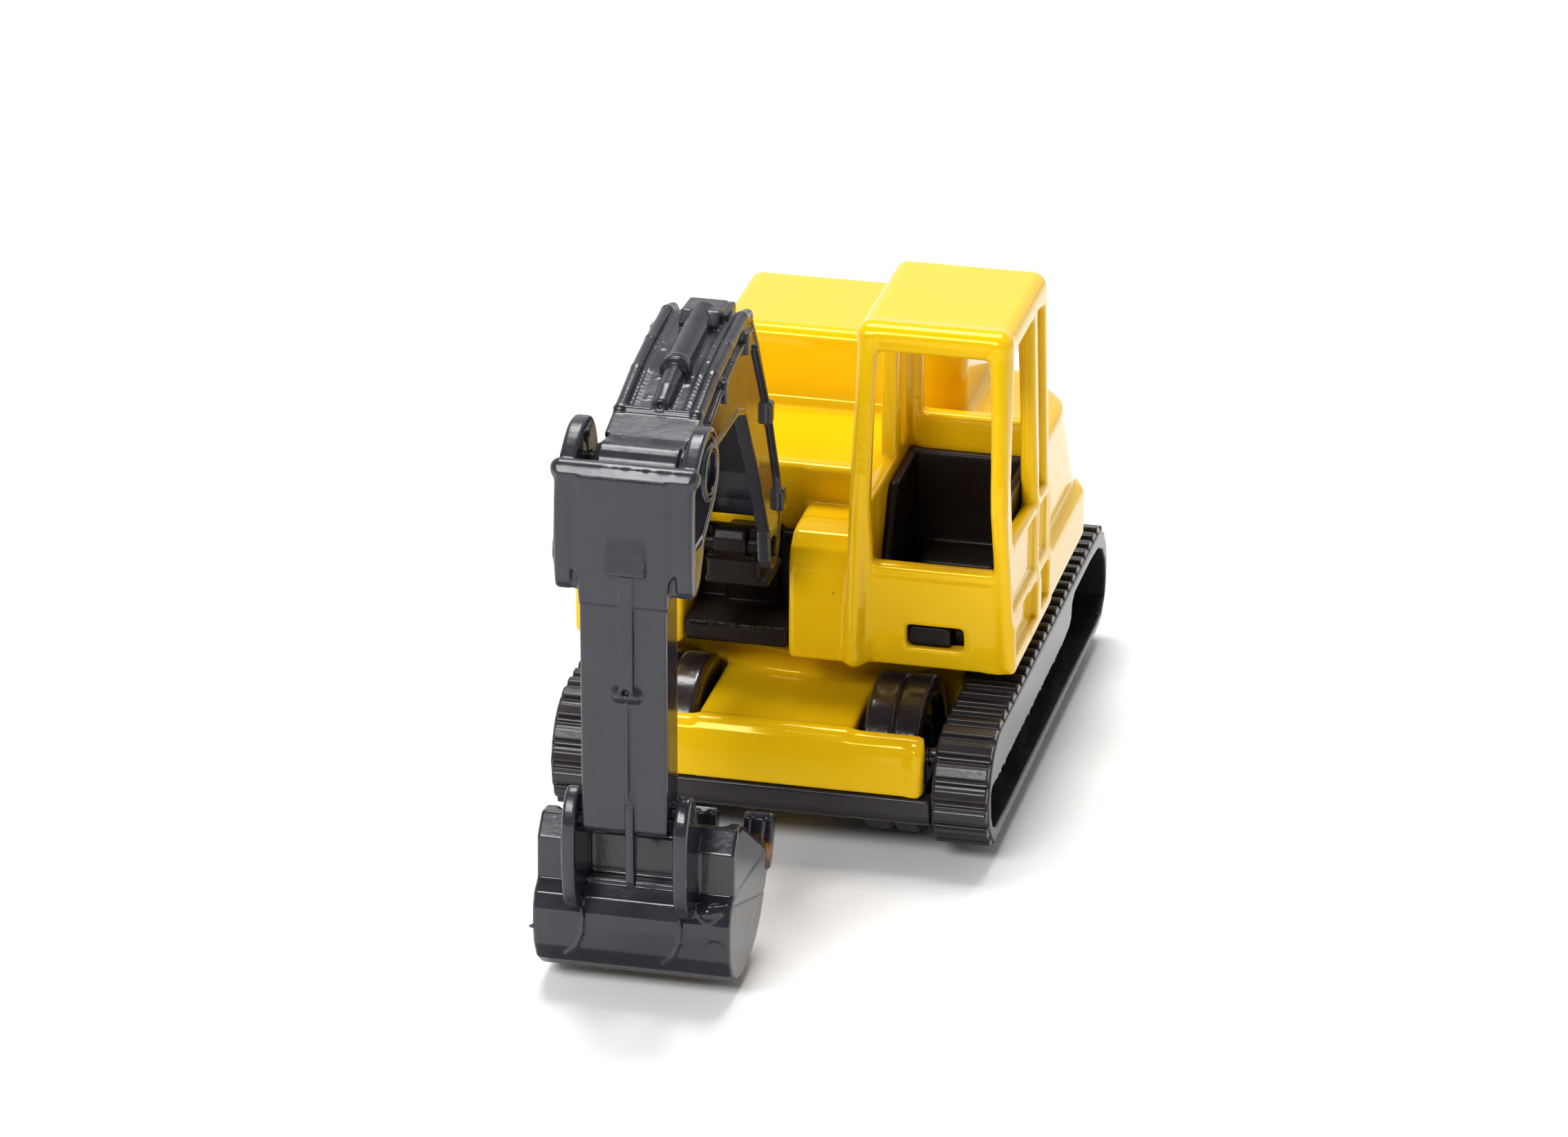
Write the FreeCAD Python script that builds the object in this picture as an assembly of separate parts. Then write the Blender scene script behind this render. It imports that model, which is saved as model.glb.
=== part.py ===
import FreeCAD, Part
import os, math
from FreeCAD import Vector as V

# Pocket-size die-cast toy excavator.  Millimetres, +Z up, -Y is the front,
# +X is the cab side.  Origin on the ground below the slew axis.

# ---------------------------------------------------------------- dimensions
TRACK_HALF_WIDTH = 14.0      # outer face of each track
TRACK_INNER = 10.26
TRACK_FRONT, TRACK_REAR = -19.94, 19.97
TRACK_BOTTOM, TRACK_TOP = 1.10, 8.90
LUG_DEPTH, LUG_COUNT = 0.42, 62
RECESS_DEPTH = 2.55

WHEEL_R, WHEEL_IN, WHEEL_OUT = 5.00, 5.28, 9.00
AXLE_R, AXLE_BORE_R, AXLE_Y = 0.60, 0.66, 12.90
AXLE_HALF = 9.92

PLATE_Z0, PLATE_Z1 = 2.80, 4.70
FRAME_Z1 = 8.50
BAR_HALF, BAR_FRONT, BAR_REAR = 9.62, 19.20, 17.85
SPINE_HALF = 4.95
DISC_R, DISC_Z1 = 10.60, 10.30

RIVET_R, RIVET_BORE_R = 1.60, 1.67
POST_R, HEAD_R = 1.10, 1.55   # posts spun over flush in the base plate

HOUSE_HALF = 14.17
HOUSE_Z0 = 10.84
HOUSE_FRONT, HOUSE_REAR = -12.90, 12.58
WALL = 1.10
SLOT_X0, SLOT_X1, SLOT_BACK = -6.98, -0.30, -7.90
MID_X1, MID_FRONT = 4.19, -13.38
SIDE_TOP = 19.17
DECK_TOP = 21.65
HOOD_X0, HOOD_X1, HOOD_FRONT, HOOD_TOP = -8.64, 7.65, 2.51, 26.51
TAIL_R, TAIL_R_LOW = 15.00, 17.20   # the tail is round about the slew axis
SKIRT_TOP, SKIRT_REAR = 14.60, 11.60
CAB_X0, CAB_X1, CAB_BACK, CAB_TOP = 3.95, 13.95, -0.95, 33.44
CAB_KNEE_Y, CAB_KNEE_Z, CAB_SILL = -14.93, 22.57, 18.10
CAB_ROOF_FRONT = -12.78

BOOM_X, BOOM_HALF, BOOM_WALL = -3.38, 2.72, 0.85
BOOM_PIV = (-15.00, 19.00)
STICK_PIV = (-38.16, 33.43)
BUCKET_PIV = (-41.15, 12.75)
BOOM_PIN_R, STICK_PIN_R, BUCKET_PIN_R = 0.60, 0.65, 0.50
FIT = 0.05                   # radial running clearance of the arm pins

os.makedirs("parts", exist_ok=True)


# ------------------------------------------------------------------- helpers
def box(x0, x1, y0, y1, z0, z1):
    return Part.makeBox(x1 - x0, y1 - y0, z1 - z0, V(x0, y0, z0))


def prism_x(pts, x0, x1):
    w = Part.makePolygon([V(x0, y, z) for y, z in pts] + [V(x0, *pts[0])])
    return Part.Face(w).extrude(V(x1 - x0, 0, 0))


def prism_y(pts, y0, y1):
    w = Part.makePolygon([V(x, y0, z) for x, z in pts]
                         + [V(pts[0][0], y0, pts[0][1])])
    return Part.Face(w).extrude(V(0, y1 - y0, 0))


def prism_z(pts, z0, z1):
    w = Part.makePolygon([V(x, y, z0) for x, y in pts]
                         + [V(pts[0][0], pts[0][1], z0)])
    return Part.Face(w).extrude(V(0, 0, z1 - z0))


def cyl_x(r, x0, x1, y, z):
    return Part.makeCylinder(r, x1 - x0, V(x0, y, z), V(1, 0, 0))


def cyl_z(r, z0, z1, x=0.0, y=0.0):
    return Part.makeCylinder(r, z1 - z0, V(x, y, z0), V(0, 0, 1))


def fuse(*s):
    r = s[0]
    for t in s[1:]:
        r = r.fuse(t)
    return r.removeSplitter()


def soften(shape, r, pick):
    """Round the picked edges; leave the shape alone where that fails."""
    try:
        e = [x for x in shape.Edges if pick(x)]
        if not e:
            return shape
        t = shape.makeFillet(r, e)
        if t.isValid() and t.Volume > 0.5 * shape.Volume:
            return t
    except Exception:
        pass
    return shape


def smooth(pts, n=6):
    """Closed Catmull-Rom outline through the points."""
    out = []
    m = len(pts)
    for i in range(m):
        p0, p1, p2, p3 = (pts[(i + k - 1) % m] for k in range(4))
        for j in range(n):
            t = j / n
            out.append(tuple(
                0.5 * (2 * p1[a] + (p2[a] - p0[a]) * t
                       + (2 * p0[a] - 5 * p1[a] + 4 * p2[a] - p3[a]) * t * t
                       + (3 * p1[a] - p0[a] - 3 * p2[a] + p3[a]) * t ** 3)
                for a in (0, 1)))
    return out


def arc(cy, cz, r, a0, a1, n):
    return [(cy + r * math.cos(math.radians(a0 + (a1 - a0) * i / n)),
             cz + r * math.sin(math.radians(a0 + (a1 - a0) * i / n)))
            for i in range(n + 1)]


def save(shape, name):
    if shape.ShapeType == "Compound" and len(shape.Solids) == 1:
        shape = shape.Solids[0]
    shape.exportStep("parts/%s.step" % name)


# -------------------------------------------------------------------- tracks
def track_outline(inset, chamfer=True):
    """Long rounded loop with flatter, slightly angular front and rear ends."""
    y0, y1 = TRACK_FRONT + inset, TRACK_REAR - inset
    z0, z1 = TRACK_BOTTOM + inset, TRACK_TOP - inset
    r = (z1 - z0) / 2
    cz = (z0 + z1) / 2
    pts = []
    pts += arc(y0 + r * 1.05, cz, r, 90, 180, 8)[:-1]
    pts += [(y0, cz), (y0 + r * 0.10, cz - r * 0.52),
            (y0 + r * 0.42, cz - r * 0.90), (y0 + r * 0.80, z0)]
    pts += [(y1 - r * 0.80, z0), (y1 - r * 0.42, cz - r * 0.90),
            (y1 - r * 0.10, cz - r * 0.52)]
    pts += arc(y1 - r * 1.05, cz, r, 0, 90, 8)
    return pts


# the side recess: low over most of its length, taller behind a step
RECESS = [(-18.85, 4.9), (-18.85, 5.45), (-18.5, 5.75), (4.4, 5.75),
          (6.3, 6.0), (6.9, 6.4), (7.1, 7.3), (7.9, 7.72), (13.3, 7.72),
          (16.0, 7.5), (17.6, 6.75), (18.6, 5.6), (18.95, 4.3), (18.6, 3.0),
          (17.4, 2.2), (15.5, 2.05), (-14.0, 2.25), (-16.9, 2.35),
          (-18.1, 2.9), (-18.7, 3.9)]


def walk(pts, n):
    """n equally spaced (point, outward normal) samples along a closed line."""
    seg = []
    for a, b in zip(pts, pts[1:] + pts[:1]):
        l = math.hypot(b[0] - a[0], b[1] - a[1])
        if l > 1e-6:
            seg.append((a, b, l))
    total = sum(s[2] for s in seg)
    res = []
    for i in range(n):
        d = total * i / n
        for a, b, l in seg:
            if d <= l:
                t = d / l
                break
            d -= l
        ty, tz = (b[0] - a[0]) / l, (b[1] - a[1]) / l
        res.append(((a[0] + t * (b[0] - a[0]), a[1] + t * (b[1] - a[1])),
                    (tz, -ty)))
    return res


def track(side):
    base = track_outline(LUG_DEPTH)
    # outline runs counter-clockwise seen from -X, so flip the normal outward
    samples = walk(base, LUG_COUNT * 4)
    cy = sum(p[0] for p in base) / len(base)
    cz = (TRACK_BOTTOM + TRACK_TOP) / 2
    pts = []
    for i, ((y, z), (ny, nz)) in enumerate(samples):
        if (y - cy) * ny * 0.05 + (z - cz) * nz < 0:
            ny, nz = -ny, -nz
        h = LUG_DEPTH if i % 4 in (0, 1) else 0.0
        pts.append((y + ny * h, z + nz * h))
    lo, hi = TRACK_INNER, TRACK_HALF_WIDTH
    body = prism_x(pts, lo + 0.30, hi - 0.12)
    rim = prism_x(track_outline(LUG_DEPTH + 0.02), lo, hi)
    body = body.fuse(rim)
    pocket = prism_x(RECESS, hi - RECESS_DEPTH, hi + 1)
    body = body.cut(pocket)
    hubs = []
    hubs.append(cyl_x(1.70, lo + 0.4, hi - 1.45, 9.9, cz + 0.3))
    hubs.append(cyl_x(0.80, lo + 0.4, hi - 1.05, 9.9, cz + 0.3))
    for y in (-14.5, -7.0, 0.5, 15.2):
        hubs.append(cyl_x(1.05, lo + 0.4, hi - 1.75, y, cz - 1.0))
    for h in hubs:
        body = body.fuse(h)
    body = body.removeSplitter()
    if side < 0:
        body = body.mirror(V(0, 0, 0), V(1, 0, 0))
    return body


# --------------------------------------------------------- undercarriage die
def chassis_frame():
    rf = BAR_FRONT
    # H-shaped die casting: front and rear bars, spine, centre body
    bar_pts = [(-rf, PLATE_Z1), (-rf, FRAME_Z1 - 1.15),
               (-rf + 0.18, FRAME_Z1 - 0.55), (-rf + 0.62, FRAME_Z1 - 0.12),
               (-rf + 1.0, FRAME_Z1), (-BAR_REAR + 0.02, FRAME_Z1),
               (-BAR_REAR + 0.02, FRAME_Z1 - 1.3),
               (-rf + 0.95, FRAME_Z1 - 1.9), (-rf + 0.95, PLATE_Z1)]
    front = prism_x(bar_pts, -BAR_HALF, BAR_HALF)
    rear = front.mirror(V(0, 0, 0), V(0, 1, 0))
    spine = box(-SPINE_HALF, SPINE_HALF, -rf + 0.9, rf - 0.9,
                PLATE_Z1, FRAME_Z1)
    hollow = box(-SPINE_HALF + WALL, SPINE_HALF - WALL, -rf + 2.0, rf - 2.0,
                 PLATE_Z1 - 1, FRAME_Z1 - 1.2)
    spine = spine.cut(hollow)
    centre = box(-9.9, 9.9, -7.0, 7.0, PLATE_Z1, FRAME_Z1)
    centre = centre.cut(box(-8.8, 8.8, -5.9, 5.9, PLATE_Z1 - 1,
                            FRAME_Z1 - 1.2))
    disc = cyl_z(DISC_R, TRACK_TOP + 0.05, DISC_Z1)
    disc = soften(disc, 0.35, lambda e: e.BoundBox.ZMin > DISC_Z1 - 0.01)
    neck = cyl_z(9.9, FRAME_Z1 - 0.2, TRACK_TOP + 0.10)
    boss = cyl_z(3.0, PLATE_Z1, FRAME_Z1)
    posts = [cyl_z(POST_R, PLATE_Z0, FRAME_Z1 - 0.6, 0, y)
             for y in (-15.0, 15.0)]
    heads = [cyl_z(HEAD_R, PLATE_Z0, PLATE_Z0 + 0.40, 0, y)
             for y in (-15.0, 15.0)]
    s = fuse(front, rear, spine, centre, disc, neck, boss, *(posts + heads))
    s = s.cut(cyl_z(RIVET_R, 0, 20))
    for y in (-AXLE_Y, AXLE_Y):
        s = s.cut(cyl_x(AXLE_BORE_R, -12, 12, y, WHEEL_R))
        s = s.cut(box(-12, 12, y - AXLE_BORE_R, y + AXLE_BORE_R,
                      PLATE_Z1 - 1, WHEEL_R))
    # the cast posts come back after the axle slots are cleared
    for p in posts + heads:
        s = s.fuse(p)
    s = s.cut(cyl_x(AXLE_BORE_R, -12, 12, -AXLE_Y, WHEEL_R))
    s = s.cut(cyl_x(AXLE_BORE_R, -12, 12, AXLE_Y, WHEEL_R))
    return s.removeSplitter()


def base_plate():
    z0, z1 = PLATE_Z0, PLATE_Z1
    f = BAR_FRONT + 0.10
    inner = -AXLE_Y - WHEEL_R - 0.15
    bar = [(-f + 0.45, z0), (-f + 0.12, z0 + 0.35), (-f, z0 + 0.8), (-f, z1),
           (inner, z1), (inner, z0)]
    front = prism_x(bar, -TRACK_INNER, TRACK_INNER)
    rear = front.mirror(V(0, 0, 0), V(0, 1, 0))
    spine = box(-SPINE_HALF, SPINE_HALF, -f + 0.9, f - 0.9, z0, z1)
    centre = box(-TRACK_INNER, TRACK_INNER, -7.0, 7.0, z0, z1)
    s = fuse(front, rear, spine, centre)
    # shallow weight-saving panels on the underside
    for y0, y1 in ((-5.6, -3.0), (3.0, 5.6)):
        s = s.cut(box(-8.4, 8.4, y0, y1, z0 - 1, z0 + 0.5))
    s = s.cut(cyl_z(2.7, z0 - 1, z0 + 0.7))
    s = s.cut(cyl_z(RIVET_R, z0 - 1, z1 + 1))
    for y in (-AXLE_Y, AXLE_Y):
        s = s.cut(cyl_x(AXLE_BORE_R, -12, 12, y, WHEEL_R))
    for y in (-15.0, 15.0):
        s = s.cut(cyl_z(POST_R, z0 - 1, z1 + 1, 0, y))
        s = s.cut(cyl_z(HEAD_R, z0 - 1, z0 + 0.40, 0, y))
    return s.removeSplitter()


def wheel(x0, x1, y, outer_sign):
    """Black drum wheel: two treads, a groove between them, a stepped hub."""
    lo, hi = (x0, x1)
    s = cyl_x(WHEEL_R, lo, hi, y, WHEEL_R)
    s = soften(s, 0.35, lambda e: abs(e.BoundBox.XMax - e.BoundBox.XMin) < 1e-6)
    mid = (lo + hi) / 2 + 0.15 * outer_sign
    ring = cyl_x(WHEEL_R + 1, mid - 0.28, mid + 0.28, y, WHEEL_R).cut(
        cyl_x(WHEEL_R - 0.38, mid - 1, mid + 1, y, WHEEL_R))
    s = s.cut(ring)
    if outer_sign > 0:
        s = s.cut(cyl_x(WHEEL_R - 1.3, hi - 0.7, hi + 1, y, WHEEL_R).cut(
            cyl_x(1.6, hi - 2, hi + 2, y, WHEEL_R)))
    else:
        s = s.cut(cyl_x(WHEEL_R - 1.3, lo - 1, lo + 0.7, y, WHEEL_R).cut(
            cyl_x(1.6, lo - 2, lo + 2, y, WHEEL_R)))
    return s.cut(cyl_x(AXLE_R, lo - 1, hi + 1, y, WHEEL_R))


def axle(y):
    s = cyl_x(AXLE_R, -AXLE_HALF, AXLE_HALF, y, WHEEL_R)
    return soften(s, 0.12, lambda e: abs(e.BoundBox.XMax - e.BoundBox.XMin) < 1e-6)


def slew_rivet():
    """Tubular rivet: pan head below the base plate, flared end above."""
    s = cyl_z(RIVET_R, PLATE_Z0 + 0.0, 13.70)
    head = cyl_z(2.55, PLATE_Z0 + 0.12, PLATE_Z0 + 0.70)
    flare = Part.makeCone(1.60, 2.30, 0.55, V(0, 0, 13.15))
    s = fuse(s, head, flare)
    s = s.cut(cyl_z(0.85, PLATE_Z0 - 1, PLATE_Z0 + 4))
    return s.cut(cyl_z(0.95, 11.0, 16))


def slew_washer():
    return cyl_z(2.9, 12.60, 13.05).cut(cyl_z(RIVET_BORE_R, 12, 14))


# --------------------------------------------------------------- upper house
CAB_PROFILE = [(HOUSE_FRONT, HOUSE_Z0), (HOUSE_FRONT - 0.75, 15.2),
               (HOUSE_FRONT - 1.15, CAB_SILL - 0.4),
               (CAB_KNEE_Y + 0.25, CAB_KNEE_Z - 1.6),
               (CAB_KNEE_Y, CAB_KNEE_Z), (CAB_KNEE_Y + 0.12, CAB_KNEE_Z + 1.4),
               (CAB_ROOF_FRONT - 0.05, CAB_TOP - 1.1),
               (CAB_ROOF_FRONT + 0.25, CAB_TOP - 0.3),
               (CAB_ROOF_FRONT + 0.85, CAB_TOP), (CAB_BACK - 0.6, CAB_TOP),
               (CAB_BACK, CAB_TOP - 0.6), (CAB_BACK, HOUSE_Z0)]
CAB_INNER = [(HOUSE_FRONT + 1.0, HOUSE_Z0 - 1),
             (HOUSE_FRONT + 1.0, 12.0), (HOUSE_FRONT - 0.05, CAB_SILL - 0.4),
             (CAB_KNEE_Y + 1.05, CAB_KNEE_Z), (CAB_ROOF_FRONT + 1.0, CAB_TOP - 1.7),
             (CAB_ROOF_FRONT + 1.3, CAB_TOP - 1.15), (CAB_BACK - 1.0, CAB_TOP - 1.15),
             (CAB_BACK - 1.0, HOUSE_Z0 - 1)]


def cab_solid():
    s = prism_x(CAB_PROFILE, CAB_X0, HOUSE_HALF)
    # the cab sides lean inward toward the roof
    right = prism_y([(HOUSE_HALF, HOUSE_Z0 - 1), (HOUSE_HALF, 19.0),
                     (13.62, CAB_TOP - 0.7), (13.15, CAB_TOP - 0.1),
                     (12.8, CAB_TOP + 1), (20, CAB_TOP + 1),
                     (20, HOUSE_Z0 - 1)], -20, 0)
    left = prism_y([(4.19, HOUSE_Z0 - 1), (4.19, 19.0),
                    (3.98, CAB_TOP - 0.7), (4.35, CAB_TOP - 0.1),
                    (4.6, CAB_TOP + 1), (-4, CAB_TOP + 1),
                    (-4, HOUSE_Z0 - 1)], -20, 0)
    return s.cut(right).cut(left)


def house_body():
    hb, hz = HOUSE_REAR, HOUSE_Z0
    cab = cab_solid()
    # mid block, full-width deck, hood, left block, right shoulder
    mid = prism_x([(MID_FRONT + 0.1, hz), (MID_FRONT, hz + 0.8),
                   (MID_FRONT, SIDE_TOP - 1.9), (MID_FRONT + 0.35, SIDE_TOP - 0.8),
                   (MID_FRONT + 1.2, SIDE_TOP), (SLOT_BACK + 0.1, SIDE_TOP),
                   (SLOT_BACK + 0.1, hz)], SLOT_X1, MID_X1 + 0.6)
    left = prism_x([(HOUSE_FRONT, hz), (HOUSE_FRONT, SIDE_TOP - 1.9),
                    (HOUSE_FRONT + 0.35, SIDE_TOP - 0.8),
                    (HOUSE_FRONT + 1.2, SIDE_TOP), (SLOT_BACK + 0.1, SIDE_TOP),
                    (SLOT_BACK + 0.1, hz)], -HOUSE_HALF, SLOT_X0)
    tail = fuse(cyl_z(TAIL_R_LOW, hz, SKIRT_TOP),
                Part.makeCone(TAIL_R_LOW, TAIL_R, DECK_TOP - SKIRT_TOP,
                              V(0, 0, SKIRT_TOP)))
    deck = box(-HOUSE_HALF + 0.7, HOUSE_HALF - 0.7, SLOT_BACK, hb, hz,
               DECK_TOP)
    deck = deck.common(fuse(tail, box(-20, 20, -20, 6.0, hz, DECK_TOP)))
    skirt = prism_z([(-HOUSE_HALF, SLOT_BACK), (HOUSE_HALF, SLOT_BACK),
                     (HOUSE_HALF, SKIRT_REAR - 1.6),
                     (HOUSE_HALF - 0.5, SKIRT_REAR - 0.5),
                     (HOUSE_HALF - 1.6, SKIRT_REAR),
                     (9.0, hb), (-9.0, hb),
                     (-HOUSE_HALF + 1.6, SKIRT_REAR),
                     (-HOUSE_HALF + 0.5, SKIRT_REAR - 0.5),
                     (-HOUSE_HALF, SKIRT_REAR - 1.6)], hz, SKIRT_TOP)
    hood = box(HOOD_X0, HOOD_X1, HOOD_FRONT, hb, DECK_TOP - 1, HOOD_TOP)
    hood = soften(hood, 0.8, lambda e: e.BoundBox.ZMin > DECK_TOP - 0.9)
    s = fuse(deck, skirt, mid, left, hood)
    s = s.cut(box(CAB_X0 + 0.4, HOUSE_HALF + 1, -30, CAB_BACK - 0.01,
                  hz - 1, 40))
    s = s.cut(box(MID_X1, HOUSE_HALF + 1, -30, CAB_BACK - 0.3, hz - 1, 40))
    s = s.fuse(cab)
    # hollow the casting from below
    cav = fuse(
        box(-HOUSE_HALF + WALL + 0.7, HOUSE_HALF - WALL - 0.7,
            SLOT_BACK + WALL, hb - WALL, hz - 1, DECK_TOP - WALL).common(
            fuse(cyl_z(TAIL_R - WALL, hz - 1, DECK_TOP),
                 box(-20, 20, -20, 5.6, hz - 1, DECK_TOP))),
        box(HOOD_X0 + WALL, HOOD_X1 - WALL, HOOD_FRONT + WALL,
            hb - WALL, hz, HOOD_TOP - WALL),
        box(SLOT_X1 + WALL, MID_X1 + 0.2, MID_FRONT + WALL, SLOT_BACK + 2,
            hz - 1, SIDE_TOP - WALL - 0.9),
        box(-HOUSE_HALF + WALL, SLOT_X0 - WALL, HOUSE_FRONT + WALL,
            SLOT_BACK + 2, hz - 1, SIDE_TOP - WALL - 0.9),
        prism_x(CAB_INNER, MID_X1 + 0.9, HOUSE_HALF - 1.05))
    keep = box(SLOT_X0 - 3, SLOT_X1 + 3, SLOT_BACK, SLOT_BACK + WALL, hz + 1.9,
               DECK_TOP)
    cabback = box(CAB_X0 + 0.2, HOUSE_HALF - 0.8, CAB_BACK - 1.0, CAB_BACK,
                  DECK_TOP - 0.3, CAB_TOP - 0.5)
    s = s.cut(cav).fuse(cabback)
    # slot floor opening between the two front blocks
    s = s.cut(box(SLOT_X0, SLOT_X1, -30, SLOT_BACK, hz - 1, 40))
    s = s.cut(box(SLOT_X0, SLOT_X1, SLOT_BACK - 1, SLOT_BACK + 2,
                  hz - 1, 14.8))
    # windows: front, two on each side, rear
    s = s.cut(prism_y([(5.25, CAB_SILL), (12.95, CAB_SILL),
                       (12.80, CAB_TOP - 1.75), (12.4, CAB_TOP - 1.35),
                       (5.6, CAB_TOP - 1.35), (5.15, CAB_TOP - 1.75)],
                      -25, -12.0))
    door = [(-12.75, 19.6), (-5.80, 19.2), (-5.80, 31.9), (-11.6, 31.9),
            (-12.9, 24.0)]
    rear_side = [(-4.45, 19.4), (-2.55, 19.4), (-2.55, 31.6), (-4.45, 31.9)]
    door_in = [(-13.0, 21.9), (-5.80, 21.9), (-5.80, 31.9), (-11.6, 31.9),
               (-13.05, 24.0)]
    rear_in = [(-4.45, 22.3), (-2.55, 22.3), (-2.55, 31.6), (-4.45, 31.9)]
    for pts in (door, rear_side):
        s = s.cut(prism_x(pts, 12.0, 20.0))
    for pts in (door_in, rear_in):
        s = s.cut(prism_x(pts, CAB_X0 - 1, 6.0))
    s = s.fuse(box(MID_X1, MID_X1 + 0.92, -13.0, -6.76, hz, 19.6))
    s = s.fuse(box(MID_X1, MID_X1 + 0.92, -7.0, -1.3, 12.65, 19.6))
    s = s.cut(prism_y([(5.85, 23.5), (12.6, 23.5), (12.6, 31.5), (5.85, 31.5)],
                      -4.0, 1.0))
    # lamp-shaped slot in the front panel
    s = s.cut(box(7.28, 10.95, -16, -11.2, 12.25, 13.83))
    # shallow door panel grooves on the cab side
    for z in (15.9, 18.0):
        s = s.cut(box(HOUSE_HALF - 0.18, HOUSE_HALF + 1, -12.2, -6.0, z,
                      z + 0.25))
    s = s.cut(box(HOUSE_HALF - 0.18, HOUSE_HALF + 1, -5.35, -5.1, 13.4, 19.2))
    # locating posts cast under the hood and the cab, spun over the insert
    for x, y in ((-9.6, 6.0), (9.6, 6.0)):
        s = s.fuse(cyl_z(1.2, 12.65, DECK_TOP - 0.5, x, y))
        s = s.fuse(cyl_z(0.83, 11.05, 12.7, x, y))
    return s.removeSplitter()


TUB = [(-11.9, 11.2), (-11.9, 14.2), (-10.75, 16.9), (-8.65, 21.3),
       (-2.3, 21.3), (-2.3, 11.2)]
TUB_IN = [(-14.0, 12.8), (-14.0, 24.0), (-3.0, 24.0), (-3.0, 12.8)]


def deck_insert():
    z0, z1 = 11.20, 12.60
    plate = box(-HOUSE_HALF + WALL + 0.76, HOUSE_HALF - WALL - 0.76, -6.7,
                HOUSE_REAR - WALL - 0.06, z0, z1)
    plate = plate.common(fuse(cyl_z(TAIL_R - WALL - 0.06, z0, z1),
                              box(-20, 20, -20, 5.5, z0, z1)))
    tongue = box(SLOT_X0 + 0.06, SLOT_X1 - 0.06, -12.95, -6.0, z0, z1)
    cabfloor = box(5.15, 13.05, -11.7, -6.0, z0, z1)
    tub = prism_x(TUB, 5.15, 13.05).cut(prism_x(TUB_IN, 5.75, 12.45))
    lug = box(7.42, 10.08, -13.05, -11.0, 12.35, 13.68)
    # boom bracket: stepped block that narrows upward, between the boom cheeks
    bracket = prism_x([(-14.85, 16.1), (-14.95, 17.8), (-15.45, 18.2),
                       (-15.95, 18.8), (-15.95, 19.6), (-15.55, 20.2),
                       (-14.45, 20.2), (-13.2, 19.1), (-11.0, 17.9),
                       (-7.95, 17.6), (-7.95, 12.4), (-9.4, 12.4),
                       (-9.9, 15.2), (-11.0, 16.1)],
                      BOOM_X - 1.77, BOOM_X + 1.77)
    web = prism_x([(-8.9, 12.4), (-8.9, 17.4), (-7.95, 17.4), (-7.95, 12.4)],
                  SLOT_X0 + 0.06, SLOT_X1 - 0.06)
    flange = box(BOOM_X - 1.85, BOOM_X + 2.30, -14.95, -11.0, 16.1, 16.6)
    s = fuse(plate, tongue, cabfloor, tub, lug, bracket, web, flange)
    s = s.cut(cyl_x(BOOM_PIN_R, -12, 2, *BOOM_PIV))
    s = s.cut(cyl_z(RIVET_BORE_R, 10, 16))
    for x, y in ((-9.6, 6.0), (9.6, 6.0)):
        s = s.cut(cyl_z(0.85, 10, 16, x, y))
    # slew bearing ring resting on the turntable disc
    ring = cyl_z(4.0, DISC_Z1 + 0.05, z0 + 0.1).cut(
        cyl_z(RIVET_BORE_R, 8, 16))
    return s.fuse(ring).removeSplitter()


# ---------------------------------------------------------------------- boom
BOOM_OUT = [(-13.55, 19.1), (-13.20, 21.0), (-13.75, 23.4), (-16.0, 28.3),
            (-19.6, 34.4), (-21.3, 36.85), (-22.6, 37.2), (-26.6, 36.85),
            (-30.1, 36.35), (-34.0, 35.4), (-36.9, 34.8)]
BOOM_IN = [(-37.7, 32.05), (-33.5, 31.55), (-29.6, 31.75), (-25.0, 31.65),
           (-23.3, 31.0), (-19.2, 25.1), (-16.7, 20.6)]


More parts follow.
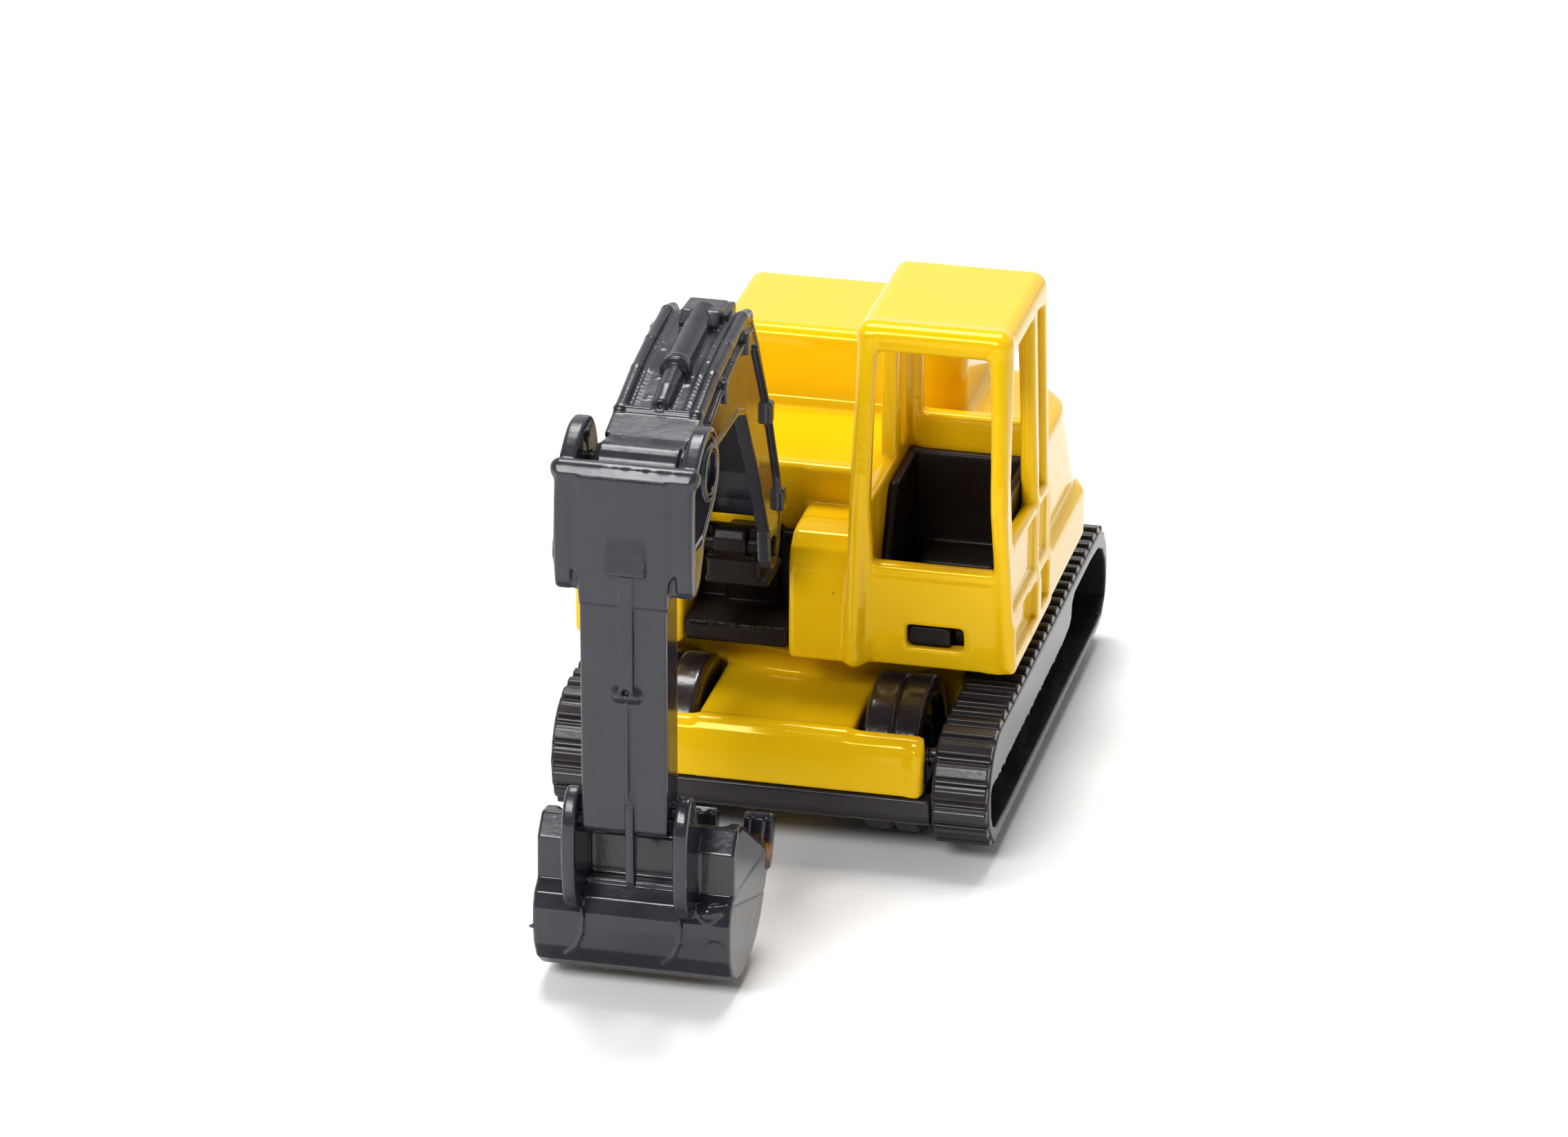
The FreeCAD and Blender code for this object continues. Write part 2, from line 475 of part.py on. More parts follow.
def boom():
    x0, x1 = BOOM_X - BOOM_HALF, BOOM_X + BOOM_HALF
    tip = arc(STICK_PIV[0], STICK_PIV[1], 1.45, 75, 285, 14)[1:-1]
    foot = arc(BOOM_PIV[0], BOOM_PIV[1], 1.45, 200, 355, 10)
    outline = BOOM_OUT + tip + BOOM_IN + foot
    s = prism_x(outline, x0, x1)
    # open channel on the inner side, closed back and top
    chan = [(-11.0, 14), (-11.0, 20.45), (-14.0, 20.45), (-14.2, 21.6),
            (-14.9, 23.7), (-17.0, 28.1), (-20.5, 34.0), (-21.9, 35.95), (-26.5, 35.75),
            (-30.1, 35.25), (-33.2, 34.4), (-33.2, 29), (-24, 28), (-20, 14)]
    s = s.cut(prism_x(chan, x0 + BOOM_WALL, x1 - BOOM_WALL))
    # narrower tip barrel between the stick ears
    for a, b in ((x0 - 1, x0 + 0.22), (x1 - 0.22, x1 + 1)):
        s = s.cut(prism_x([(-42, 30), (-36.2, 30), (-36.2, 33), (-36.6, 38),
                           (-42, 38)], a, b))
    # side rails along the top edges
    rail = [(-20.9, 36.6), (-22.5, 37.1), (-26.6, 36.75), (-30.1, 36.25),
            (-34.0, 35.3), (-34.3, 35.55), (-30.2, 36.62), (-26.6, 37.12),
            (-22.5, 37.48), (-20.9, 36.95)]
    for a, b in ((x0, x0 + 0.75), (x1 - 0.75, x1)):
        s = s.fuse(prism_x(rail, a, b))
    # moulded cylinder: bracket, barrel, collar, rod
    cx = BOOM_X + 0.1
    s = s.fuse(prism_x([(-20.9, 36.0), (-21.1, 37.3), (-21.9, 37.85),
                        (-24.3, 37.95), (-24.9, 37.4), (-24.5, 36.4)],
                       cx - 1.22, cx + 1.22))

    def rod(r, a, b):
        d = V(0, b[0] - a[0], b[1] - a[1])
        return Part.makeCylinder(r, d.Length, V(cx, a[0], a[1]), d)
    s = s.fuse(rod(0.82, (-23.5, 37.35), (-30.6, 36.45)))
    s = s.fuse(rod(1.00, (-29.9, 36.54), (-30.5, 36.46)))
    s = s.fuse(rod(0.62, (-30.3, 36.49), (-34.6, 35.55)))
    # hose clips on both side edges
    for y, z in ((-23.6, 35.9), (-29.2, 34.9), (-17.4, 28.9), (-13.75, 21.8)):
        for a, b in ((x0 - 0.38, x0 + 0.2), (x1 - 0.2, x1 + 0.38)):
            s = s.fuse(box(a, b, y - 0.45, y + 0.45, z - 0.75, z + 0.75))
    s = s.cut(cyl_x(BOOM_PIN_R + FIT, -12, 4, *BOOM_PIV))
    s = s.cut(cyl_x(STICK_PIN_R, -12, 4, *STICK_PIV))
    return s.removeSplitter()


# --------------------------------------------------------------------- stick
def stick():
    cx = BOOM_X
    f, r = -42.80, -39.95          # front and back faces of the shank
    head = box(cx - 4.20, cx + 4.20, f, f + 1.30, 27.1, 34.75)
    head = soften(head, 1.1, lambda e: e.BoundBox.ZMax < 27.2
                  or (abs(e.BoundBox.ZMin - 27.1) < 1e-6 and
                      abs(e.BoundBox.XMax - e.BoundBox.XMin) < 1e-6))
    shank = prism_x([(f, 34.5), (f + 0.02, 28.0), (f + 0.35, 13.2),
                     (-42.4, 11.85), (-42.0, 11.4), (-40.7, 11.35),
                     (-40.0, 12.0), (-39.75, 14.2), (r, 27.0), (-40.3, 29.2),
                     (-41.2, 30.0), (-41.2, 34.5)], cx - 2.72, cx + 2.72)
    ear = [(f + 0.1, 33.9), (-41.6, 34.9), (-39.9, 36.0), (-38.6, 36.3),
           (-37.2, 35.95), (-36.2, 34.6), (-35.9, 32.6), (-37.1, 31.1),
           (-39.7, 29.5), (-41.0, 27.5), (f + 0.1, 27.6)]
    ears = [prism_x(smooth(ear, 4), cx - 4.20, cx - 3.16),
            prism_x(smooth(ear, 4), cx + 3.16, cx + 4.20)]
    pad = box(cx - 1.15, cx + 1.50, f - 0.45, f + 0.3, 28.40, 31.30)
    pad = soften(pad, 0.3, lambda e: e.BoundBox.YMax < f - 0.4)
    px = cx + 0.18
    rib = box(px - 0.50, px + 0.50, f - 0.26, f + 0.9, 20.6, 28.5)
    collar = Part.makeSphere(0.85, V(px, f + 0.52, 20.7))
    rib2 = box(px - 0.17, px + 0.17, f - 0.10, f + 0.9, 14.0, 20.6)
    fx = cx + 0.31
    finger = prism_x([(f + 0.30, 15.0), (f + 0.05, 13.2), (f + 0.15, 8.6),
                      (f + 0.4, 8.05), (f + 0.8, 8.05), (f + 1.0, 8.8),
                      (f + 1.3, 12.5)], fx - 0.28, fx + 0.28)
    s = fuse(head, shank, ears[0], ears[1], pad, rib, collar, rib2, finger)
    s = s.cut(cyl_x(STICK_PIN_R + FIT, -12, 4, *STICK_PIV))
    for a, b in ((cx - 6, cx - 3.72), (cx + 3.72, cx + 6)):
        s = s.cut(cyl_x(1.25, a, b, *STICK_PIV))
    s = s.cut(cyl_x(BUCKET_PIN_R + FIT, -12, 4, *BUCKET_PIV))
    return s.removeSplitter()


# -------------------------------------------------------------------- bucket
BUCKET_OUT = [(-38.75, 10.85), (-39.85, 9.6), (-39.95, 7.0), (-40.75, 6.5),
              (-41.15, 5.3), (-41.1, 3.6), (-40.6, 2.1), (-39.6, 1.15),
              (-37.9, 0.75), (-35.9, 0.85), (-34.2, 1.45), (-32.9, 2.35),
              (-31.85, 3.6), (-31.0, 5.0), (-30.4, 6.2), (-31.6, 6.5),
              (-37.6, 10.7)]
BUCKET_CAV = [(-38.15, 12), (-38.35, 8.2), (-39.3, 6.6), (-39.9, 5.2),
              (-39.8, 3.8), (-39.2, 2.7), (-37.9, 1.95), (-36.0, 1.8),
              (-34.6, 2.35), (-33.4, 3.3), (-32.5, 4.4), (-31.6, 6.0),
              (-31.3, 12)]
BUCKET_EAR = [(-41.3, 13.85), (-42.2, 13.3), (-42.85, 12.0), (-43.0, 9.8),
              (-42.75, 7.6), (-42.1, 6.35), (-41.0, 5.9), (-39.6, 6.6),
              (-38.9, 8.6), (-39.0, 10.2), (-39.9, 12.3), (-40.5, 13.4)]


def bucket():
    cx, h = -3.40, 6.10
    s = prism_x(BUCKET_OUT, cx - h, cx + h)
    s = s.cut(prism_x(BUCKET_CAV, cx - h + 0.9, cx + h - 0.9))
    # recess in the back panel behind the stick, between the ears
    s = s.cut(box(BOOM_X - 2.93, BOOM_X + 2.93, -44, -38.95, 7.25, 14))
    for a, b in ((BOOM_X - 3.85, BOOM_X - 2.95), (BOOM_X + 2.95, BOOM_X + 3.85)):
        s = s.fuse(prism_x(smooth(BUCKET_EAR, 4), a, b))
    # four teeth on the rear cutting edge
    for i in range(4):
        x = cx + 0.15 + (i - 1.5) * 3.48
        s = s.fuse(prism_x([(-31.5, 4.9), (-30.75, 7.9), (-30.3, 8.15),
                            (-29.75, 7.7), (-30.35, 5.9), (-30.9, 4.9)],
                           x - 0.92, x + 0.92))
    s = s.cut(cyl_x(BUCKET_PIN_R, -12, 4, *BUCKET_PIV))
    return s.removeSplitter()


def pin(r, x0, x1, yz):
    s = cyl_x(r, x0, x1, *yz)
    return soften(s, r * 0.25,
                  lambda e: abs(e.BoundBox.XMax - e.BoundBox.XMin) < 1e-6)


# ---------------------------------------------------------------- write all
save(track(+1), "track_left")
save(track(-1), "track_right")
save(chassis_frame(), "chassis_frame")
save(base_plate(), "base_plate")
save(wheel(WHEEL_IN, WHEEL_OUT, -AXLE_Y, +1), "wheel_front_left")
save(wheel(-WHEEL_OUT, -WHEEL_IN, -AXLE_Y, -1), "wheel_front_right")
save(wheel(WHEEL_IN, WHEEL_OUT, AXLE_Y, +1), "wheel_rear_left")
save(wheel(-WHEEL_OUT, -WHEEL_IN, AXLE_Y, -1), "wheel_rear_right")
save(axle(-AXLE_Y), "front_axle")
save(axle(AXLE_Y), "rear_axle")
save(slew_rivet(), "slew_rivet")
save(slew_washer(), "slew_washer")
save(house_body(), "house_body")
save(deck_insert(), "deck_insert")
save(boom(), "boom")
save(pin(BOOM_PIN_R, BOOM_X - 2.85, BOOM_X + 2.85, BOOM_PIV), "boom_pivot_pin")
save(stick(), "stick")
save(pin(STICK_PIN_R, BOOM_X - 3.68, BOOM_X + 3.68, STICK_PIV),
     "stick_pivot_pin")
save(bucket(), "bucket")
save(pin(BUCKET_PIN_R, BOOM_X - 3.84, BOOM_X + 3.84, BUCKET_PIV),
     "bucket_pivot_pin")
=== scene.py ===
import math

import bpy
import numpy as np
from mathutils import Matrix, Vector


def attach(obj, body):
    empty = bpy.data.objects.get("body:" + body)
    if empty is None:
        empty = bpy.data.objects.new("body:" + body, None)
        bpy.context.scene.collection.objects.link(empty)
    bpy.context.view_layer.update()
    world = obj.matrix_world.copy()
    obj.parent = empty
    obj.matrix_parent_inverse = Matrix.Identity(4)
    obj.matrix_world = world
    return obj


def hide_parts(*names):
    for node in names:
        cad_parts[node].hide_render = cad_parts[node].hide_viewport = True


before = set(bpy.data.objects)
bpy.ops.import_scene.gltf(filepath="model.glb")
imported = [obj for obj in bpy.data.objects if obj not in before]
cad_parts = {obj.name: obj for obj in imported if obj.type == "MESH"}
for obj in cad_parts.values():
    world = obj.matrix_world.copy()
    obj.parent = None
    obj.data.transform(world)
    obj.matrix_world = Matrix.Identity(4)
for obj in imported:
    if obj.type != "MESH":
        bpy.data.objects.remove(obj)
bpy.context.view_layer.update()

# Every solid below is modelled as a distance field in millimetres, so that
# cast and moulded edges get their real soft radii and paint pools in corners,
# then turned into a mesh in metres.  Frame: -Y front, +X cab side, +Z up.
MM = 0.001
rng = np.random.default_rng(11)


# ------------------------------------------------------------ distance fields
def smin(a, b, k):
    if k <= 0:
        return np.minimum(a, b)
    h = np.maximum(k - np.abs(a - b), 0) / k
    return np.minimum(a, b) - h * h * (k * 0.25)


def smax(a, b, k):
    return -smin(-a, -b, k)


class Prim:
    def __init__(self, lo, hi, f):
        self.lo, self.hi, self.f = lo, hi, f


def rbox(lo, hi, r=0.15):
    c = [(a + b) / 2 for a, b in zip(lo, hi)]
    e = [(b - a) / 2 - r for a, b in zip(lo, hi)]

    def f(x, y, z):
        q = [np.abs(v - c[i]) - e[i] for i, v in enumerate((x, y, z))]
        out = np.sqrt(sum(np.maximum(v, 0) ** 2 for v in q))
        return out + np.minimum(np.maximum(np.maximum(q[0], q[1]), q[2]), 0) - r
    return Prim(lo, hi, f)


def poly2(a, b, pts):
    d = None
    flip = None
    n = len(pts)
    for i in range(n):
        v, w = pts[i], pts[i - 1]
        ex, ey = w[0] - v[0], w[1] - v[1]
        px, py = a - v[0], b - v[1]
        t = np.clip((px * ex + py * ey) / max(ex * ex + ey * ey, 1e-12), 0, 1)
        q = (px - ex * t) ** 2 + (py - ey * t) ** 2
        d = q if d is None else np.minimum(d, q)
        c1, c2, c3 = b >= v[1], b < w[1], ex * py > ey * px
        fl = (c1 & c2 & c3) | (~c1 & ~c2 & ~c3)
        flip = fl if flip is None else flip ^ fl
    return np.where(flip, -1.0, 1.0) * np.sqrt(d)


def _thick(d2, t, half, r):
    a, b = d2 + r, np.abs(t) - half + r
    return (np.minimum(np.maximum(a, b), 0)
            + np.sqrt(np.maximum(a, 0) ** 2 + np.maximum(b, 0) ** 2) - r)


def ext(pts, axis, t0, t1, r=0.15):
    u = [p[0] for p in pts]
    v = [p[1] for p in pts]
    m, h = (t0 + t1) / 2, (t1 - t0) / 2
    if axis == "x":
        lo, hi = (t0, min(u), min(v)), (t1, max(u), max(v))
        f = lambda x, y, z: _thick(poly2(y, z, pts), x - m, h, r)
    elif axis == "y":
        lo, hi = (min(u), t0, min(v)), (max(u), t1, max(v))
        f = lambda x, y, z: _thick(poly2(x, z, pts), y - m, h, r)
    else:
        lo, hi = (min(u), min(v), t0), (max(u), max(v), t1)
        f = lambda x, y, z: _thick(poly2(x, y, pts), z - m, h, r)
    return Prim(lo, hi, f)


def cyl(axis, c, rad, t0, t1, r=0.1):
    m, h = (t0 + t1) / 2, (t1 - t0) / 2
    if axis == "x":
        lo, hi = (t0, c[0] - rad, c[1] - rad), (t1, c[0] + rad, c[1] + rad)
        f = lambda x, y, z: _thick(np.sqrt((y - c[0]) ** 2 + (z - c[1]) ** 2)
                                   - rad, x - m, h, r)
    elif axis == "y":
        lo, hi = (c[0] - rad, t0, c[1] - rad), (c[0] + rad, t1, c[1] + rad)
        f = lambda x, y, z: _thick(np.sqrt((x - c[0]) ** 2 + (z - c[1]) ** 2)
                                   - rad, y - m, h, r)
    else:
        lo, hi = (c[0] - rad, c[1] - rad, t0), (c[0] + rad, c[1] + rad, t1)
        f = lambda x, y, z: _thick(np.sqrt((x - c[0]) ** 2 + (y - c[1]) ** 2)
                                   - rad, z - m, h, r)
    return Prim(lo, hi, f)


def cap(p, q, r0, r1=None):
    r1 = r0 if r1 is None else r1
    d = [b - a for a, b in zip(p, q)]
    dd = sum(v * v for v in d) or 1e-9
    rm = max(r0, r1)
    lo = [min(a, b) - rm for a, b in zip(p, q)]
    hi = [max(a, b) + rm for a, b in zip(p, q)]

    def f(x, y, z):
        t = np.clip(((x - p[0]) * d[0] + (y - p[1]) * d[1]
                     + (z - p[2]) * d[2]) / dd, 0, 1)
        return np.sqrt((x - p[0] - t * d[0]) ** 2 + (y - p[1] - t * d[1]) ** 2
                       + (z - p[2] - t * d[2]) ** 2) - (r0 + (r1 - r0) * t)
    return Prim(lo, hi, f)


def rod(p, q, r, edge=0.1):
    """Finite straight cylinder between two points, softened rims."""
    d = [b - a for a, b in zip(p, q)]
    ln = math.sqrt(sum(w * w for w in d))
    u = [w / ln for w in d]
    lo = [min(a, b) - r for a, b in zip(p, q)]
    hi = [max(a, b) + r for a, b in zip(p, q)]

    def f(x, y, z):
        t = (x - p[0]) * u[0] + (y - p[1]) * u[1] + (z - p[2]) * u[2]
        rr = np.sqrt(np.maximum((x - p[0]) ** 2 + (y - p[1]) ** 2
                                + (z - p[2]) ** 2 - t * t, 0))
        return _thick(rr - r, t - ln / 2, ln / 2, edge)
    return Prim(lo, hi, f)


def tube(pts, rads):
    """Chain of round cones as one solid, so that its joints don't bulge."""
    if isinstance(rads, (int, float)):
        rads = [rads] * len(pts)
    parts = [cap(a, b, ra, rb) for a, b, ra, rb
             in zip(pts, pts[1:], rads, rads[1:])]
    lo = [min(p.lo[i] for p in parts) for i in range(3)]
    hi = [max(p.hi[i] for p in parts) for i in range(3)]

    def f(x, y, z):
        d = parts[0].f(x, y, z)
        for p in parts[1:]:
            d = smin(d, p.f(x, y, z), 0.05)
        return d
    return Prim(lo, hi, f)


def turned(profile, y, z, r=0.1):
    """Turned about an X-parallel axis; profile is (x, radius) points."""
    xs = [p[0] for p in profile]
    rm = max(p[1] for p in profile)

    def f(X, Y, Z):
        rad = np.sqrt((Y - y) ** 2 + (Z - z) ** 2)
        return poly2(X, rad, profile) - r
    return Prim((min(xs) - r, y - rm - r, z - rm - r),
                (max(xs) + r, y + rm + r, z + rm + r), f)


def turned_z(profile, r=0.1):
    zs = [p[1] for p in profile]
    rm = max(p[0] for p in profile)

    def f(X, Y, Z):
        return poly2(np.sqrt(X ** 2 + Y ** 2), Z, profile) - r
    return Prim((-rm - r, -rm - r, min(zs) - r), (rm + r, rm + r, max(zs) + r), f)


def arc(cy, cz, r, a0, a1, n):
    return [(cy + r * math.cos(math.radians(a0 + (a1 - a0) * i / n)),
             cz + r * math.sin(math.radians(a0 + (a1 - a0) * i / n)))
            for i in range(n + 1)]


def smooth(pts, n=5):
    out = []
    m = len(pts)
    for i in range(m):
        p0, p1, p2, p3 = (pts[(i + k - 1) % m] for k in range(4))
        for j in range(n):
            t = j / n
            out.append(tuple(
                0.5 * (2 * p1[a] + (p2[a] - p0[a]) * t
                       + (2 * p0[a] - 5 * p1[a] + 4 * p2[a] - p3[a]) * t * t
                       + (3 * p1[a] - p0[a] - 3 * p2[a] + p3[a]) * t ** 3)
                for a in (0, 1)))
    return out


def inset(pts, d):
    """Polygon moved inward by d, corner by corner."""
    n = len(pts)
    area = sum(pts[i][0] * pts[(i + 1) % n][1] - pts[(i + 1) % n][0] * pts[i][1]
               for i in range(n))
    s = 1 if area > 0 else -1
    out = []
    for i in range(n):
        a, b, c = pts[i - 1], pts[i], pts[(i + 1) % n]
        n1 = np.array([-(b[1] - a[1]), b[0] - a[0]], float)
        n2 = np.array([-(c[1] - b[1]), c[0] - b[0]], float)
        n1 /= np.linalg.norm(n1) + 1e-9
        n2 /= np.linalg.norm(n2) + 1e-9
        m = n1 + n2
        m /= max(np.dot(m, n1) * 1.0, 0.35)
        out.append((b[0] + s * d * m[0], b[1] + s * d * m[1]))
    return out


class Vol:
    def __init__(self, lo, hi, h):
        h = h * 1.0
        self.h, self.lo = h, np.array(lo, float)
        n = np.ceil((np.array(hi) - self.lo) / h).astype(int) + 1
        self.ax = [(self.lo[i] + h * np.arange(n[i])).astype(np.float32)
                   for i in range(3)]
        self.F = np.full(n, 1.2, np.float32)

    def _win(self, p, m):
        sl = []
        for i in range(3):
            a = max(int((p.lo[i] - m - self.lo[i]) / self.h), 0)
            b = min(int((p.hi[i] + m - self.lo[i]) / self.h) + 2,
                    len(self.ax[i]))
            sl.append(slice(a, max(b, a)))
        g = (self.ax[0][sl[0]][:, None, None], self.ax[1][sl[1]][None, :, None],
             self.ax[2][sl[2]][None, None, :])
        return tuple(sl), g

    def add(self, p, k=0.0):
        sl, g = self._win(p, k + 3 * self.h)
        self.F[sl] = smin(self.F[sl], p.f(*g).astype(np.float32), k)
        return self

    def cut(self, p, k=0.0):
        sl, g = self._win(p, k + 3 * self.h)
        self.F[sl] = smax(self.F[sl], -p.f(*g).astype(np.float32), k)
        return self

    def mesh(self, relax=2):
        F, h = self.F, self.h
        S = F < 0
        n = [k - 1 for k in F.shape]
        c = np.zeros(n, np.uint8)
        for dx in (0, 1):
            for dy in (0, 1):
                for dz in (0, 1):
                    c += S[dx:dx + n[0], dy:dy + n[1], dz:dz + n[2]]
        act = (c > 0) & (c < 8)
        I = np.argwhere(act)
        vid = np.full(n, -1, np.int32)
        vid[act] = np.arange(len(I), dtype=np.int32)
        V = {}
        for dx in (0, 1):
            for dy in (0, 1):
                for dz in (0, 1):
                    V[dx, dy, dz] = F[I[:, 0] + dx, I[:, 1] + dy, I[:, 2] + dz]
        P = np.zeros((len(I), 3))
        N = np.zeros(len(I))
        for a in V:
            for k in range(3):
                if a[k]:
                    continue
                b = list(a)
                b[k] = 1
                fa, fb = V[a], V[tuple(b)]
                m = (fa < 0) != (fb < 0)
                t = np.where(m, fa / np.where(m, fa - fb, 1), 0)
                for j in range(3):
                    P[:, j] += m * (a[j] + (t if j == k else 0))
                N += m
        P = (I + P / N[:, None]) * h + self.lo
        Q = []
        for k in range(3):
            i, j = [q for q in range(3) if q != k]
            s0 = [slice(1, -1)] * 3
            s0[k] = slice(0, -1)
            s1 = list(s0)
            s1[k] = slice(1, None)
            A, B = S[tuple(s0)], S[tuple(s1)]
            for inside_first in (True, False):
                m = (A & ~B) if inside_first else (~A & B)
                G = np.argwhere(m)
                G[:, i] += 1
                G[:, j] += 1
                quad = []
                for di, dj in ((1, 1), (0, 1), (0, 0), (1, 0)):
                    C = G.copy()
                    C[:, i] -= di
                    C[:, j] -= dj
                    quad.append(vid[C[:, 0], C[:, 1], C[:, 2]])
                quad = np.stack(quad, 1)
                if inside_first != (k != 1):
                    quad = quad[:, ::-1]
                Q.append(quad)
        Q = np.concatenate(Q)
        Q = Q[(Q >= 0).all(1)]
        # a light relax removes grid stepping and softens as paint does
        nv = len(P)
        for _ in range(relax):
            acc = np.zeros((nv, 3))
            cnt = np.zeros(nv)
            for a, b in ((0, 1), (1, 2), (2, 3), (3, 0)):
                for u, v in ((Q[:, a], Q[:, b]), (Q[:, b], Q[:, a])):
                    cnt += np.bincount(u, minlength=nv)
                    for j in range(3):
                        acc[:, j] += np.bincount(u, weights=P[v, j],
                                                 minlength=nv)
            P += 0.5 * (acc / np.maximum(cnt, 1)[:, None] - P)
        return P, Q


def build(name, P, Q, mat, body, slot=None, replaces=()):
    me = bpy.data.meshes.new(name)
    me.vertices.add(len(P))
    me.vertices.foreach_set("co", (P * MM).astype(np.float32).ravel())
    me.loops.add(len(Q) * 4)
    me.loops.foreach_set("vertex_index", Q.astype(np.int32).ravel())
    me.polygons.add(len(Q))
    me.polygons.foreach_set("loop_start",
                            np.arange(0, len(Q) * 4, 4, dtype=np.int32))
    me.polygons.foreach_set("use_smooth", np.ones(len(Q), bool))
    me.update(calc_edges=True)
    me.validate()
    ob = bpy.data.objects.new(name, me)
    bpy.context.scene.collection.objects.link(ob)
    ob.data.materials.append(mat)
    if body:
        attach(ob, body)
    if replaces:
        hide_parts(*replaces)
    print("piece", name, len(P), "verts")
    return ob


# ------------------------------------------------------------------ materials
def nodes_of(name):
    m = bpy.data.materials.new(name)
    m.use_nodes = True
    nt = m.node_tree
    nt.nodes.clear()
    out = nt.nodes.new("ShaderNodeOutputMaterial")
    b = nt.nodes.new("ShaderNodeBsdfPrincipled")
    nt.links.new(b.outputs[0], out.inputs[0])
    return m, nt, b


def node(nt, kind, **kw):
    n = nt.nodes.new(kind)
    for k, v in kw.items():
        if k in n.inputs:
            n.inputs[k].default_value = v
        else:
            setattr(n, k, v)
    return n


def noise(nt, co, scale, detail=3.0, rough=0.5):
    n = node(nt, "ShaderNodeTexNoise", Scale=scale, Detail=detail,
             Roughness=rough)
    nt.links.new(co, n.inputs["Vector"])
    return n.outputs["Fac"]


def ramp(nt, fac, stops):
    r = nt.nodes.new("ShaderNodeValToRGB")
    el = r.color_ramp.elements
    while len(el) > 1:
        el.remove(el[-1])
    el[0].position, el[0].color = stops[0][0], stops[0][1]
    for p, c in stops[1:]:
        e = el.new(p)
        e.color = c
    nt.links.new(fac, r.inputs[0])
    return r.outputs[0]


def grey(v):
    return (v, v, v, 1)


def maprange(nt, fac, a, b, c, d):
    n = node(nt, "ShaderNodeMapRange")
    n.inputs[1].default_value, n.inputs[2].default_value = a, b
    n.inputs[3].default_value, n.inputs[4].default_value = c, d
    nt.links.new(fac, n.inputs[0])
    return n.outputs[0]


def mix(nt, fac, a, b):
    n = nt.nodes.new("ShaderNodeMix")
    n.data_type = "RGBA"
    if isinstance(fac, float):
        n.inputs[0].default_value = fac
    else:
        nt.links.new(fac, n.inputs[0])
    for k, v in ((6, a), (7, b)):
        if isinstance(v, tuple):
            n.inputs[k].default_value = v
        else:
            nt.links.new(v, n.inputs[k])
    return n.outputs[2]


def bump(nt, h, strength, dist, normal=None):
    n = node(nt, "ShaderNodeBump", Strength=strength, Distance=dist)
    nt.links.new(h, n.inputs["Height"])
    if normal is not None:
        nt.links.new(normal, n.inputs["Normal"])
    return n.outputs[0]


def math_node(nt, op, a, b=None):
    n = nt.nodes.new("ShaderNodeMath")
    n.operation = op
    for i, v in enumerate((a, b)):
        if v is None:
            continue
        if isinstance(v, (int, float)):
            n.inputs[i].default_value = v
        else:
            nt.links.new(v, n.inputs[i])
    return n.outputs[0]


def yellow_enamel():
    """Thick glossy enamel: faint orange peel, with painted shade darkening the colour
    in occluded corners.
    """
    m, nt, b = nodes_of("yellow_enamel")
    tc = node(nt, "ShaderNodeTexCoord").outputs["Object"]
    # ambient occlusion drives painted shade: the colour is darkened toward orange-brown
    # in corners and hollows
    ao = node(nt, "ShaderNodeAmbientOcclusion", Distance=0.0016)
    ao.samples = 4
    corner_shade = maprange(nt, ao.outputs["AO"], 0.25, 0.85, 1.0, 0.0)
    tone = noise(nt, tc, 160.0, 3.0)
    c1 = mix(nt, maprange(nt, tone, 0.3, 0.7, 0.0, 1.0),
             (0.800, 0.475, 0.0040, 1), (0.830, 0.505, 0.0055, 1))
    # mix in the painted shade colour where the corners are occluded
    c2 = mix(nt, math_node(nt, "MULTIPLY", corner_shade, 0.55), c1,
             (0.66, 0.345, 0.0025, 1))
    # a few dark specks of dust under the paint
    v = node(nt, "ShaderNodeTexVoronoi", Scale=520.0)
    nt.links.new(tc, v.inputs["Vector"])
    speck = maprange(nt, v.outputs["Distance"], 0.035, 0.06, 1.0, 0.0)
    rare = maprange(nt, noise(nt, tc, 300.0, 1.0), 0.69, 0.70, 0.0, 1.0)
    c3 = mix(nt, math_node(nt, "MULTIPLY", speck,
                           math_node(nt, "MULTIPLY", rare, 0.6)), c2,
             (0.16, 0.09, 0.02, 1))
    nt.links.new(c3, b.inputs["Base Color"])
    r = maprange(nt, noise(nt, tc, 420.0, 4.0), 0.3, 0.7, 0.07, 0.14)
    nt.links.new(r, b.inputs["Roughness"])
    b.inputs["Specular IOR Level"].default_value = 0.5
    b.inputs["Specular Tint"].default_value = (1.0, 0.72, 0.06, 1)
    b.inputs["Coat Weight"].default_value = 0.22
    b.inputs["Coat Roughness"].default_value = 0.04
    peel = noise(nt, tc, 900.0, 2.0)
    wave = noise(nt, tc, 210.0, 2.0)
    n1 = bump(nt, peel, 0.04, 0.00004)
    n2 = bump(nt, wave, 0.05, 0.00015, n1)
    nt.links.new(n2, b.inputs["Normal"])
    return m


